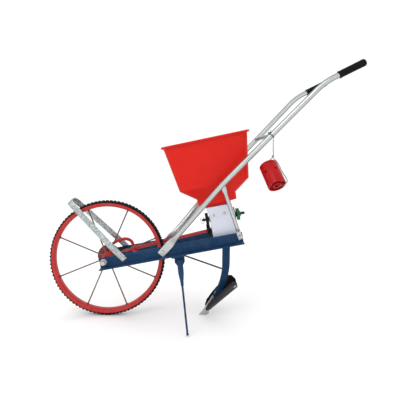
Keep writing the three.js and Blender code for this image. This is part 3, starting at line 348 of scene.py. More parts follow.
def bevelled(made, width, segments=2, angle=30):
    edge = made.modifiers.new("edges", "BEVEL")
    edge.width = width * mm
    edge.segments = segments
    edge.limit_method = "ANGLE"
    edge.angle_limit = math.radians(angle)
    edge.use_clamp_overlap = True
    return plain(made)


def dress(made, material, body, nodes=(), smooth=34):
    made.data.materials.clear()
    made.data.materials.append(material)
    for face in made.data.polygons:
        face.use_smooth = True
        face.material_index = 0
    made.data.set_sharp_from_angle(angle=math.radians(smooth))
    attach(made, body)
    if nodes:
        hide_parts(*nodes)
    return made


def softCopy(node, width=0.6, segments=2):  # a CAD node with its edges eased
    shape = bmesh.new()
    shape.from_mesh(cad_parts[node].data)
    bmesh.ops.remove_doubles(shape, verts=shape.verts, dist=2e-6)
    bmesh.ops.dissolve_limit(
        shape, angle_limit=math.radians(2), verts=list(shape.verts), edges=list(shape.edges),
        delimit={"NORMAL"})
    mesh = bpy.data.meshes.new(node + "Eased")
    shape.to_mesh(mesh)
    shape.free()
    made = bpy.data.objects.new(node + "Eased", mesh)
    bpy.context.scene.collection.objects.link(made)
    return bevelled(made, width, segments) if width else made


def ease(node, width, material, body, segments=2, smooth=34):  # an eased copy stands for its node
    return dress(softCopy(node, width, segments), material, body, [node], smooth)


def joined(name, pieces):  # one mesh of several
    vertices, faces = [], []
    for piece in pieces:
        start = len(vertices)
        vertices += [v.co.copy() for v in piece.data.vertices]
        faces += [[start + i for i in f.vertices] for f in piece.data.polygons]
        bpy.data.objects.remove(piece)
    return newObject(name, vertices, faces)


def axes(origin, direction, hint):  # z along a direction, x towards a hint
    z = Vector(direction).normalized()
    x = Vector(hint)
    x = (x - z * x.dot(z)).normalized()
    return Matrix.Translation(origin) @ Matrix((x, z.cross(x), z)).transposed().to_4x4()


def lathe(name, profile, place, segments=48):  # a closed outline of (radius, height) turned about local z
    vertices = []
    for step in range(segments):
        turn = 2 * math.pi * step / segments
        vertices += [place @ (Vector((r * math.cos(turn), r * math.sin(turn), h)) * mm) for r, h in profile]
    count = len(profile)
    faces = []
    for step in range(segments):
        here, there = step * count, ((step + 1) % segments) * count
        for i in range(count):
            beyond = (i + 1) % count
            faces.append((here + i, there + i, there + beyond, here + beyond))
    made = newObject(name, vertices, faces)
    shape = bmesh.new()
    shape.from_mesh(made.data)
    bmesh.ops.remove_doubles(shape, verts=shape.verts, dist=1e-6)
    flat = [f for f in shape.faces if f.calc_area() < 1e-14]
    bmesh.ops.delete(shape, geom=flat, context="FACES")
    bmesh.ops.recalc_face_normals(shape, faces=shape.faces)
    shape.to_mesh(made.data)
    shape.free()
    return made


def loft(name, loops, closed=False):  # skins matching loops of points
    count = len(loops[0])
    vertices = [p for ring in loops for p in ring]
    faces = []
    for k in range(len(loops) if closed else len(loops) - 1):
        here, there = k * count, ((k + 1) % len(loops)) * count
        for i in range(count):
            beyond = (i + 1) % count
            faces.append((here + i, here + beyond, there + beyond, there + i))
    if not closed:
        faces.append(list(range(count))[::-1])
        faces.append([(len(loops) - 1) * count + i for i in range(count)])
    return tidy(newObject(name, vertices, faces))


def sweep(name, path, section, hint):  # carries section(run), a ring of (across, out) pairs, along a path
    loops = []
    out = Vector(hint)
    run = 0
    for k, point in enumerate(path):
        along = (path[min(k + 1, len(path) - 1)] - path[max(k - 1, 0)]).normalized()
        out = (out - along * out.dot(along)).normalized()
        across = along.cross(out)
        run += (point - path[k - 1]).length / mm if k else 0
        loops.append([point + (across * a + out * b) * mm for a, b in section(run)])
    return loft(name, loops)


def oval(across, out, sides):
    turns = [2 * math.pi * i / sides for i in range(sides)]
    return [(across * math.cos(a), out * math.sin(a)) for a in turns]


def squaredOval(across, out, power, sides):  # an oval whose sides flatten as the power falls below one
    ring = []
    for x, y in oval(1, 1, sides):
        ring.append((across * math.copysign(abs(x) ** power, x), out * math.copysign(abs(y) ** power, y)))
    return ring


def roundSection(radius, sides=20):
    def section(run):
        return oval(radius, radius, sides)
    return section


def rounded(points, cut, step=6):  # straight runs with their corners rounded
    path = [points[0]]
    for k in range(1, len(points) - 1):
        before = points[k] + (points[k - 1] - points[k]).normalized() * cut[k - 1] * mm
        after = points[k] + (points[k + 1] - points[k]).normalized() * cut[k - 1] * mm
        path += spaced(path[-1], before, step)
        for i in range(1, 11):
            t = i / 10
            path.append(before * (1 - t) ** 2 + points[k] * 2 * t * (1 - t) + after * t * t)
    return path + spaced(path[-1], points[-1], step)


def spaced(start, end, step):
    count = max(1, round((end - start).length / (step * mm)))
    return [start.lerp(end, i / count) for i in range(1, count + 1)]


def smoothStep(value, low, high):
    t = min(1, max(0, (value - low) / (high - low)))
    return t * t * (3 - 2 * t)


# ---- geometry nodes ----
class Tree:  # a Geometry Nodes tree with named inputs, ending in Realize Instances and Set Material
    def __init__(self, name, inputs):
        self.group = bpy.data.node_groups.new(name, "GeometryNodeTree")
        self.sockets = {}
        for label, kind in [("Geometry", "NodeSocketGeometry"), *inputs, ("Material", "NodeSocketMaterial")]:
            socket = self.group.interface.new_socket(label, in_out="INPUT", socket_type=kind)
            self.sockets[label] = socket
        self.group.interface.new_socket("Geometry", in_out="OUTPUT", socket_type="NodeSocketGeometry")
        self.start = self.group.nodes.new("NodeGroupInput").outputs

    def node(self, kind, inputs, **settings):
        made = self.group.nodes.new(kind)
        for name, value in settings.items():
            setattr(made, name, value)
        for key, value in inputs.items():
            if isinstance(value, bpy.types.NodeSocket):
                self.group.links.new(value, made.inputs[key])
            else:
                made.inputs[key].default_value = value
        return made.outputs

    def close(self, instances):
        real = self.node("GeometryNodeRealizeInstances", {"Geometry": instances})[0]
        coat = {"Geometry": real, "Material": self.start["Material"]}
        dressed = self.node("GeometryNodeSetMaterial", coat)[0]
        self.group.links.new(dressed, self.group.nodes.new("NodeGroupOutput").inputs[0])
        return self

    def run(self, made, **values):
        step = made.modifiers.new("copies", "NODES")
        step.node_group = self.group
        for label, value in values.items():
            step[self.sockets[label].identifier] = value
        return plain(made)


def copiesRound():  # turns copies about a line along Y through the centre
    inputs = [("Count", "NodeSocketInt"), ("Centre", "NodeSocketVector"), ("First", "NodeSocketFloat")]
    tree = Tree("copiesRound", inputs)
    spots = {"Count": tree.start["Count"], "Position": tree.start["Centre"]}
    points = tree.node("GeometryNodePoints", spots)[0]
    index = tree.node("GeometryNodeInputIndex", {})[0]
    share = tree.node("ShaderNodeMath", {0: index, 1: tree.start["Count"]}, operation="DIVIDE")[0]
    onward = {0: share, 1: 2 * math.pi, 2: tree.start["First"]}
    angle = tree.node("ShaderNodeMath", onward, operation="MULTIPLY_ADD")[0]
    euler = tree.node("ShaderNodeCombineXYZ", {"Y": angle})[0]
    turn = tree.node("FunctionNodeEulerToRotation", {0: euler})[0]
    spread = {"Points": points, "Instance": tree.start["Geometry"], "Rotation": turn}
    return tree.close(tree.node("GeometryNodeInstanceOnPoints", spread)[0])


def copiesAlong():  # repeats a shape at even steps along a line
    tree = Tree("copiesAlong", [("Count", "NodeSocketInt"), ("Step", "NodeSocketVector")])
    spots = {"Count": tree.start["Count"], "Offset": tree.start["Step"]}
    line = tree.node("GeometryNodeMeshLine", spots)[0]
    spread = {"Points": line, "Instance": tree.start["Geometry"]}
    return tree.close(tree.node("GeometryNodeInstanceOnPoints", spread)[0])


roundTree = copiesRound()
alongTree = copiesAlong()

print("twine and spare roller")
spare = {
    "axis": (0.25, -0.6, -0.76), "drop": 168, "knotDrop": 91, "radius": 37, "length": 104, "bore": 11,
    "twine": 3, "sideTurn": 48, "cells": 5, "cellRadius": 5,
}
tie = centreOf("twine_tie")
rollerCentre = tie - Vector((0, 0, spare["drop"] * mm))
rollerAxes = axes(rollerCentre, spare["axis"], (0, 0, 1))


def onRoller(x, y, z):
    return rollerAxes @ (Vector((x, y, z)) * mm)


def smoothRoute(points, step=3):  # a centripetal curve through the points
    ends = [points[0] * 2 - points[1], *points, points[-1] * 2 - points[-2]]
    path = [points[0]]
    for k in range(1, len(ends) - 2):
        p0, p1, p2, p3 = ends[k - 1:k + 3]
        t1 = (p1 - p0).length ** 0.5
        t2 = t1 + (p2 - p1).length ** 0.5
        t3 = t2 + (p3 - p2).length ** 0.5
        count = max(2, round((p2 - p1).length / (step * mm)))
        for i in range(1, count + 1):
            t = t1 + (t2 - t1) * i / count
            a1 = p0 * ((t1 - t) / t1) + p1 * (t / t1)
            a2 = p1 * ((t2 - t) / (t2 - t1)) + p2 * ((t - t1) / (t2 - t1))
            a3 = p2 * ((t3 - t) / (t3 - t2)) + p3 * ((t - t2) / (t3 - t2))
            b1 = a1 * ((t2 - t) / t2) + a2 * (t / t2)
            b2 = a2 * ((t3 - t) / (t3 - t1)) + a3 * ((t - t1) / (t3 - t1))
            path.append(b1 * ((t2 - t) / (t2 - t1)) + b2 * ((t - t1) / (t2 - t1)))
    return path


def withUv(made, path, sides):  # U runs along the twine and V round it
    layer = made.data.uv_layers.new(name="along")
    runs = [0]
    for a, b in zip(path, path[1:]):
        runs.append(runs[-1] + (b - a).length)
    for face in made.data.polygons:
        for corner in face.loop_indices:
            vertex = made.data.loops[corner].vertex_index
            layer.data[corner].uv = (runs[vertex // sides], (vertex % sides) / sides)
    return made


def makeTwine():
    hang = Vector((tie.x, tie.y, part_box("twine")[1].z - 0.0015))
    knot = tie - Vector((0, 0, spare["knotDrop"] * mm))
    half = spare["length"] / 2
    away = spare["radius"] + spare["twine"] / 2 + 1.5
    turn = math.radians(spare["sideTurn"])

    def beside(out, along):
        return onRoller(out * math.cos(turn), -out * math.sin(turn), along)

    route = [
        hang, hang.lerp(knot, 0.5), knot,
        onRoller(14, 0, -half - 8), onRoller(4, 0, -half + 6), onRoller(4, 0, 0), onRoller(4, 0, half - 4),
        beside(10, half + 5), beside(28, half + 7), beside(away + 2, half - 1),
        beside(away, 0), beside(away, -half + 20),
    ]
    route += [route[-1].lerp(knot, 0.5), knot + Vector((0.5, 4.2, -6)) * mm]
    path = smoothRoute(route)
    sides = 10
    made = sweep("hangingTwine", path, roundSection(spare["twine"] / 2, sides), (0, 1, 0))
    withUv(made, path, sides)
    length = sum((b - a).length for a, b in zip(path, path[1:]))
    dress(made, twineFibre, "spare", ["twine"], 60)
    return made, path, length, knot


def knotAt(name, centre, size, body, turns=2.4):  # a lump of wound twine
    path = []
    for i in range(46):
        a = 2 * math.pi * turns * i / 45
        swing = math.sin(a * 0.45) * size * 0.45
        path.append(centre + Vector((math.cos(a) * size, math.sin(a) * size * 0.8, swing)) * mm)
    made = sweep(name, path, roundSection(spare["twine"] / 2 * 0.95, 10), (0, 0, 1))
    withUv(made, path, 10)
    return dress(made, twineFibre, body, (), 60)


def makeSpareRoller():
    r, half, bore = spare["radius"], spare["length"] / 2, spare["bore"]
    hubOuter, wellOuter, well = bore + 6, r - 5, 12
    profile = [
        (bore, -half), (hubOuter, -half), (hubOuter, -half + well),
        (wellOuter, -half + well), (wellOuter, -half), (r, -half),
        (r, half), (wellOuter, half), (wellOuter, half - well),
        (hubOuter, half - well), (hubOuter, half), (bore, half),
    ]
    body = bevelled(lathe("spareRoller", profile, rollerAxes, 96), 1.4, 3)
    mouth = spare["cellRadius"]
    cell = [(0, 0), (mouth - 1, 0), (mouth, 6), (mouth + 1.5, 12), (0, 12)]
    cells = []
    for i in range(spare["cells"]):
        turn = 2 * math.pi * i / spare["cells"]
        ray = rollerAxes.to_3x3() @ Vector((math.cos(turn), math.sin(turn), 0))
        start = onRoller((r - 8) * math.cos(turn), (r - 8) * math.sin(turn), -10)
        cells.append(lathe("cell", cell, axes(start, ray, (0, 0, 1)), 24))
    tool = joined("cells", cells)
    hole = body.modifiers.new("cells", "BOOLEAN")
    hole.operation = "DIFFERENCE"
    hole.object = tool
    hole.solver = "EXACT"
    plain(body)
    bpy.data.objects.remove(tool)
    return dress(body, rollerPlastic, "spare", ["spare_roller"])


def makeTie():  # turns of twine round the handle with a loose end
    across = Vector((0.19583, 0.98064, 0))
    along = Vector((0.681, -0.136, 0.7195)).normalized()
    side = across.cross(along)
    radius, turns, spread, steps = 12.9, 2.6, 8, 99
    middle = tie - along * 10 * mm
    path = []
    for i in range(steps + 1):
        a = 2 * math.pi * turns * i / steps
        drift = spread * (i / steps - 0.5)
        loop = side * math.cos(a) * radius + across * math.sin(a) * radius
        path.append(middle + (loop + along * drift) * mm)
    path += [path[-1] + Vector((0.2 * i, -0.5 * i, 2.4 * i - 0.05 * i * i)) * mm for i in range(1, 5)]
    made = sweep("tiedTwine", path, roundSection(spare["twine"] / 2 * 0.9, 10), (0, 0, 1))
    withUv(made, path, 10)
    knotAt("tieKnot", middle - (side * 14.6 + along * 1.5) * mm, 3.0, "frame")
    return dress(made, twineFibre, "frame", ["twine_tie"], 60)


twine, twinePath, twineLength, knotPoint = makeTwine()
spareRoller = makeSpareRoller()
twineKnot = knotAt("twineKnot", knotPoint, 3.6, "spare")
makeTie()

print("ground wheel")
wheel = {
    "radius": 254, "half": 20, "flange": 243, "face": 228, "wall": 2.5, "lugs": 92, "lugHeight": 3.4,
    "spokes": 8, "firstSpoke": 22.5, "spokeRadius": 3.0, "hubRadius": 24,
}
alongY = axes(axle, (0, 1, 0), (1, 0, 0))
spokeLine = axes((0, 0, 0), (1, 0, 0), (0, 0, 1))


def makeRim():
    f, i, h, w = wheel["flange"], wheel["face"], wheel["half"], wheel["wall"]
    bed = i + w
    left = [(i, 6), (i + 3, 1.5), (f - 3.5, 0), (f, 0.4), (f, w), (bed + 3, w + 2), (bed, 8)]
    profile = [(radius, inset - h) for radius, inset in left]
    profile += [(radius, h - inset) for radius, inset in left[::-1]]
    profile += [(i - 1.6, h - 12), (i - 2.2, 0), (i - 1.6, -h + 12)]
    made = bevelled(lathe("wheelRim", profile, alongY, 160), 0.8, 2, 20)
    return dress(made, redEnamel, "wheel", ["wheel_rim"])


def makeTyre():
    f, h, r = wheel["flange"], wheel["half"], wheel["radius"] - wheel["lugHeight"]
    inner = wheel["face"] + wheel["wall"] + 1
    steps = 14
    arc = [math.pi * (i / steps - 0.5) for i in range(steps + 1)]
    crown = [(r - 5.5 * abs(math.sin(a)) ** 2.4, h * math.sin(a)) for a in arc]
    profile = [
        (inner, -h + 9), (f + 0.5, -h + 3.5), (f + 0.6, -h), *crown,
        (f + 0.6, h), (f + 0.5, h - 3.5), (inner, h - 9),
    ]
    made = lathe("tyreBody", profile, alongY, 160)
    return dress(made, tyreRubber, "wheel", ["tyre"], 40)


def makeLugs(side):  # slanted tread blocks from the crown over the shoulder
    r, h = wheel["radius"], wheel["half"]
    loops = []
    for share in (0.12, 0.35, 0.6, 0.82, 1.0):
        y = side * h * share
        top = r - 0.2 - 5.6 * share ** 3.2
        foot = top - wheel["lugHeight"] - 1.4
        slant = 7 * share
        half = 2.6 - 0.55 * share
        block = [(-half - 0.8, foot), (-half, top), (half, top), (half + 0.8, foot)]
        loops.append([Vector((slant + x, y, z)) * mm for x, z in block])
    lug = bevelled(loft("lug", loops), 0.5, 1, 40)
    first = math.pi / wheel["lugs"] if side > 0 else 0.0
    made = roundTree.run(lug, Count=wheel["lugs"], Centre=axle, First=first, Material=tyreRubber)
    made.name = "treadRight" if side > 0 else "treadLeft"
    return dress(made, tyreRubber, "wheel")


def atSpokes(shape, material):
    first = -math.radians(wheel["firstSpoke"])
    return roundTree.run(shape, Count=wheel["spokes"], Centre=axle, First=first, Material=material)


def makeSpokes():
    start, end, r = wheel["hubRadius"] - 1, wheel["face"] + 0.5, wheel["spokeRadius"]
    profile = [
        (0, start), (r + 1.6, start), (r + 1.2, start + 3), (r, start + 7), (r * 0.94, (start + end) / 2),
        (r, end - 9), (r + 0.8, end - 5), (r + 2.6, end - 2), (r + 2.2, end), (0, end),
    ]
    names = [f"spoke_{i + 1}" for i in range(wheel["spokes"])]
    made = atSpokes(lathe("spokes", profile, spokeLine, 16), spokeEnamel)
    return dress(made, spokeEnamel, "wheel", names, 50)


def makeSpokeWelds():  # a bead where each spoke meets the rim
    end, r = wheel["face"] - 2.4, wheel["spokeRadius"]
    profile = [
        (r - 0.4, end - 2.6), (r + 1.6, end - 2.2), (r + 3.0, end - 0.4), (r + 3.2, end + 1.6),
        (r - 0.4, end + 1.6),
    ]
    made = atSpokes(lathe("bead", profile, spokeLine, 14), oiledSteel)
    made.name = "spokeWelds"
    return dress(made, oiledSteel, "wheel", (), 50)


def makeHub():
    r = wheel["hubRadius"]
    right = [(r - 2, 5), (r, 7), (r, 19), (r - 1.5, 21), (16.5, 23), (16.5, 27.5), (15, 29), (8.4, 29)]
    profile = [(radius, -out) for radius, out in right[::-1]] + right
    made = bevelled(lathe("wheelHub", profile, alongY, 64), 0.8)
    return dress(made, redEnamel, "wheel", ["wheel_hub"])


makeRim()
makeTyre()
makeLugs(-1)
makeLugs(1)
makeSpokes()
makeSpokeWelds()
makeHub()
# The crown gear takes the darker red enamel, painted shade for its place inside the wheel.
ease("crown_gear", 0.5, redCastingPaintedShade, "wheel")

print("axle and bolts")
hardware = {
    "axle": (zincPlate, "zinc", 0.8), "axle_spacer_left": (oiledSteel, "dark_steel", 0.6),
    "axle_spacer_right": (oiledSteel, "dark_steel", 0.6), "axle_nut_left": (zincPlate, "zinc", 0.8),
    "axle_nut_right": (zincPlate, "zinc", 0.8), "tow_bolt_left": (zincPlate, "zinc", 0.6),
    "tow_bolt_right": (zincPlate, "zinc", 0.6), "handle_bolt_left": (zincPlate, "zinc", 0.6),
    "handle_bolt_right": (zincPlate, "zinc", 0.6), "strut_bolt_left": (zincPlate, "zinc", 0.6),
    "strut_bolt_right": (zincPlate, "zinc", 0.6), "stand_bolt": (blueEnamel, "blue_paint", 0.6),
    "bearing_flange": (zincPlate, "zinc", 0.7),
}
for node, (material, slot, width) in hardware.items():
    ease(node, width, material, "frame", 3)

print("tow loop and beams")
towLoop = {
    "station": 84, "height": 2, "angle": 125, "reach": 336, "width": 25, "steel": 4,
    "armHalf": 90.3, "frontHalf": 54, "tail": 9,
}


def makeTowLoop():  # a strap bent round the front of the wheel
    arm, bend = towLoop["armHalf"], towLoop["reach"] - 46
    fh, reach = towLoop["frontHalf"], towLoop["reach"]
    half = [(-towLoop["tail"], arm), (0, arm), (50, arm), (70, arm - 0.8), (90, arm - 4), (bend, fh)]
    for i in range(1, 17):  # the round end
        t = i / 16
        u = 1 - t
        x = bend * u ** 3 + 3 * (bend + 40) * u * u * t + 3 * reach * u * t * t + reach * t ** 3
        y = fh * u ** 3 + 3 * (fh - 6) * u * u * t + 3 * (fh - 14) * u * t * t
        half.append((x, y))
    outline = half + [(x, -y) for x, y in half[-2::-1]]
    turn = math.radians(towLoop["angle"])
    origin = onBeam(towLoop["station"], 0, towLoop["height"])
    climb, square = squareTo(turn)
    path = [origin + climb * x * mm + Vector((0, y * mm, 0)) for x, y in outline]
    w, t, e = towLoop["width"] / 2, towLoop["steel"] / 2, 0.7
    corner = [(w - e, t), (w - 0.2, t - 0.2), (w, t - e)]
    right = corner + [(a, -b) for a, b in corner[::-1]]
    ring = right + [(-a, -b) for a, b in right]
    made = sweepFlat("towLoop", path, ring, square)
    return dress(made, galvanisedStrap, "frame", ["tow_loop"], 40)


def squareTo(turn):  # the loop's climbing direction and the strap's width direction
    climb = Vector((math.cos(turn + beamTilt), 0, math.sin(turn + beamTilt)))
    return climb, Vector((-math.sin(turn + beamTilt), 0, math.cos(turn + beamTilt)))


def sweepFlat(name, path, ring, width):  # a strap whose width keeps one direction
    loops = []
    for k, point in enumerate(path):
        along = (path[min(k + 1, len(path) - 1)] - path[max(k - 1, 0)]).normalized()
        out = width.cross(along).normalized()
        loops.append([point + (width * a + out * b) * mm for a, b in ring])
    return loft(name, loops)


makeTowLoop()
steelwork = {
    "left_beam": 1.2, "right_beam": 1.2, "deck_plate": 0.8, "cross_bar": 0.8, "stand_bracket": 0.9,
}
for node, width in steelwork.items():
    ease(node, width, blueEnamel, "frame", 3)

weld = {"radius": 2.6, "pitch": 3.2, "across": 82, "height": 12, "start": 487, "end": 566}


def makeWelds():  # stitched beads where the deck meets the webs
    beads = []
    r = weld["radius"]
    profile = [(0, -r * 0.6), (r * 0.7, -r * 0.45), (r, 0), (r * 0.7, r * 0.45), (0, r * 0.6)]
    count = int((weld["end"] - weld["start"]) / weld["pitch"])
    along = onBeam(1, 0, 0) - onBeam(0, 0, 0)
    for side in (-1, 1):
        first = onBeam(weld["start"], side * weld["across"], weld["height"])
        bead = lathe("bead", profile, axes(first, along, (0, 0, 1)), 10)
        beads.append(alongTree.run(bead, Count=count, Step=along * weld["pitch"], Material=blueEnamel))
    made = joined("deckWelds", beads)
    return dress(made, blueEnamel, "frame", (), 60)


makeWelds()

print("drive")
driveAxis = Vector((0.95949, -0.10204, 0.26263))
driveStart = axle + Vector((0, 59.626 * mm, 0))
driveLine = axes(driveStart, driveAxis, (0, -1, 0))


def makeDriveShaft():
    low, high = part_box("drive_shaft")
    end = (high.x - driveStart.x) / driveAxis.x / mm
    start = (low.x - driveStart.x) / driveAxis.x / mm
    profile = [(0, start), (6.2, start), (7, start + 0.8), (7, end - 0.8), (6.2, end), (0, end)]
    made = lathe("driveShaft", profile, driveLine, 40)
    return dress(made, redEnamel, "drive", ["drive_shaft"])


makeDriveShaft()
ease("pinion", 0.5, oiledSteel, "drive")
ease("drive_gear", 0.5, oiledSteel, "drive")
ease("pinion_bracket", 1.6, redEnamel, "frame", 3)

print("metering box")
ease("metering_gear", 0.5, oiledSteel, "metering")
ease("metering_shaft", 0.5, oiledSteel, "metering")
ease("split_pin", 0, zincPlate, "metering", smooth=60)
ease("seed_roller", 0.8, rollerPlastic, "metering")
ease("keeper_disc", 1.0, blackPlastic, "metering", 3)
ease("star_knob", 2.2, greenPlastic, "knob", 4)
ease("metering_box", 2.4, whitePlastic, "frame", 4)
ease("box_seat", 2.0, whitePlastic, "frame", 3)

boxTrim = {
    "front": 476, "rear": 584, "halfWidth": 58, "joint": 102,
    "screws": [(494, 107), (541, 109)],
}


def panHead(centre, direction, radius, height):  # a domed round head
    profile = [
        (0, -1), (radius, -1), (radius, height * 0.35), (radius * 0.8, height * 0.85),
        (radius * 0.4, height), (0, height),
    ]
    return bevelled(lathe("head", profile, axes(centre, direction, (1, 0, 0)), 24), 0.25, 2, 50)


def makeBoxScrews():
    heads = []
    washer = [(0, -0.6), (6.4, -0.6), (6.4, 0.7), (0, 0.7)]
    for side in (-1, 1):
        for station, height in boxTrim["screws"]:
            centre = onBeam(station, side * (boxTrim["halfWidth"] + 2), height)
            heads.append(panHead(centre, (0, side, 0), 4.2, 2.6))
            place = axes(centre, (0, side, 0), (1, 0, 0))
            heads.append(bevelled(lathe("washer", washer, place, 28), 0.2))
    return dress(joined("boxScrews", heads), zincPlate, "frame")


def makeBoxFlange():  # the raised line where the box meets its seat
    low, high = boxTrim["joint"] - 2.5, boxTrim["joint"] + 1.5
    loops = []
    for height, out in ((low, 1.5), (high, 1.5), (high, -0.4), (low, -0.4)):
        f, r, w = boxTrim["front"] - out, boxTrim["rear"] + out, boxTrim["halfWidth"] + out
        loops.append([onBeam(x, y, height) for x, y in ((f, -w), (r, -w), (r, w), (f, w))])
    made = bevelled(loft("boxFlange", loops, True), 0.9, 3)
    return dress(made, whitePlastic, "frame")


makeBoxScrews()
makeBoxFlange()

print("hopper")
hopper = {
    "tilt": 12.7, "station": 521, "seat": 146, "wall": 2.6, "throat": 38, "steps": 8,
    # level above the outlet, half length, half width, corner
    "outside": [
        (0, 56, 50, 14), (9, 57, 50, 14), (12, 84, 62, 20),
        (42, 86, 62, 20), (92, 150, 96, 24), (285, 180, 116, 26),
    ],
    "rim": {"level": 286, "height": 6, "overhang": 9, "corner": 30},
}
hopperAxes = Matrix.Translation(onBeam(hopper["station"], 0, hopper["seat"])) @ Matrix.Rotation(
    -math.radians(hopper["tilt"]), 4, "Y")


def roundedLoop(level, halfLength, halfWidth, corner, steps):
    ring = []
    for quadrant, (sx, sy) in enumerate(((1, 1), (-1, 1), (-1, -1), (1, -1))):
        for i in range(steps + 1):
            a = math.pi / 2 * (quadrant + i / steps)
            x = sx * (halfLength - corner) + corner * math.cos(a)
            y = sy * (halfWidth - corner) + corner * math.sin(a)
            ring.append(hopperAxes @ (Vector((x, y, level)) * mm))
    return ring


def makeHopper():
    out, w, rim, throat = hopper["outside"], hopper["wall"], hopper["rim"], hopper["throat"]
    top = out[-1]
    lip, corner, level = rim["overhang"], rim["corner"], rim["level"]

    def inside(row, up, corner):
        return (row[0] + up, row[1] - w, row[2] - w, corner)

    rows = [
        *out,
        (level, top[1] + lip - 1, top[2] + lip - 1, corner), (level, top[1] + lip, top[2] + lip, corner),
        (level + rim["height"], top[1] + lip, top[2] + lip, corner),
        inside(top, level + rim["height"] - top[0], 24), inside(out[4], w / 2, 22), inside(out[3], w / 2, 18),
        inside(out[2], w, 18), (out[2][0] + w, throat, throat, 18), (0, throat, throat, 18),
    ]
    made = loft("hopperShell", [roundedLoop(*row, hopper["steps"]) for row in rows], True)
    bevelled(made, 2.4, 4, 16)
    return dress(made, hopperPlastic, "frame", ["hopper"], 40)


def makeHopperScrews():  # the screws that hold the hopper's foot
    heads = []
    floor = hopper["outside"][2][0] + hopper["wall"]
    upward = hopperAxes.to_3x3() @ Vector((0, 0, 1))
    for x in (-48, 48):
        for y in (-44, 44):
            heads.append(panHead(hopperAxes @ (Vector((x, y, floor)) * mm), upward, 4, 2.4))
    return dress(joined("hopperScrews", heads), zincPlate, "frame")


def makeRimBead():  # a rolled bead under the rim
    rim, top = hopper["rim"], hopper["outside"][-1]
    rows = []
    for i in range(10):
        a = 2 * math.pi * i / 10
        grow = rim["overhang"] - 1.2 + 1.5 * math.cos(a)
        rows.append((rim["level"] - 0.6 + 1.6 * math.sin(a), top[1] + grow, top[2] + grow, rim["corner"]))
    made = loft("rimBead", [roundedLoop(*row, hopper["steps"]) for row in rows], True)
    return dress(made, hopperPlastic, "frame", (), 60)


makeHopper()
makeHopperScrews()
makeRimBead()

print("seed tube and opener")
ease("shank", 1.6, blueEnamel, "frame", 3, smooth=40)
ease("wing_left", 1.0, blackEnamel, "frame", 3)
ease("wing_right", 1.0, blackEnamel, "frame", 3)
ease("opener_point", 0.9, polishedSteel, "frame", 3)
opener = {
    "keel": (430, 2), "keelAngle": 40.4, "splay": 50, "keelHalf": 2,
    "wingBolt": (188, 26), "pointBolt": (473, 73), "pointHalf": 5.9,
}


def onWing(side, along, up, out):  # along the keel, up the wing, and square to its outer face
    lean = math.radians(opener["splay"])
    keel = math.radians(opener["keelAngle"])
    across = up * math.sin(lean) + out * math.cos(lean) + opener["keelHalf"]
    rise = up * math.cos(lean) - out * math.sin(lean)
    x = along * math.cos(keel) - rise * math.sin(keel)
    z = along * math.sin(keel) + rise * math.cos(keel)
    return fromAxle(opener["keel"][0] + x, side * across, opener["keel"][1] + z)


def makeOpenerBolts():
    heads = []
    for side in (-1, 1):
        base, top = onWing(side, *opener["wingBolt"], 0), onWing(side, *opener["wingBolt"], 5)
        place = axes(base, top - base, (1, 0, 0))
        square = []
        for half, height in ((4.2, -2), (4.2, 5), (3.36, 6.2)):
            corners = ((half, -half), (half, half), (-half, half), (-half, -half))
            square.append([place @ (Vector((x, y, height)) * mm) for x, y in corners])
        heads.append(bevelled(loft("square", square), 0.7, 2))
        washer = [(0, 3.1), (8.5, 3.1), (8.5, 4.3), (0, 4.3)]
        heads.append(bevelled(lathe("washer", washer, place, 28), 0.3))
    return dress(joined("openerBolts", heads), zincPlate, "frame")


def makePointBolt():
    heads = []
    station, height = opener["pointBolt"]
    for side in (-1, 1):
        heads.append(panHead(fromAxle(station, side * opener["pointHalf"], height), (0, side, 0), 4.6, 2.6))
    return dress(joined("pointBolt", heads), polishedSteel, "frame")


brace = {"front": (289, 282), "rear": (506.4, 207.2), "radius": 3.5}


def makeBraceRod():
    start, end = (fromAxle(x, 0, z) for x, z in (brace["front"], brace["rear"]))
    path = [start, *spaced(start, end, 8)]

    def section(run):  # pinched flat where it meets the lug
        flat = 1 - 0.45 * (1 - smoothStep(run, 4, 20))
        return oval(brace["radius"] * (2 - flat), brace["radius"] * flat, 16)

    made = sweep("braceRod", path, section, (0, 0, 1))
    return dress(made, oiledSteel, "frame", ["brace_rod"], 50)


def makeTubeRivets():
    heads = []
    for side in (-1, 1):
        for x, z in ((524, 330), (524, 222)):
            heads.append(panHead(fromAxle(x, side * 11.8, z), (0, side, 0), 5, 2.4))
    return dress(joined("tubeRivets", heads), blueEnamel, "frame")


makeOpenerBolts()
makePointBolt()
makeBraceRod()
makeTubeRivets()

print("stand")
stand = {"pivot": (322, -108, 260), "foot": (358.7, -228, 0), "steel": 6}


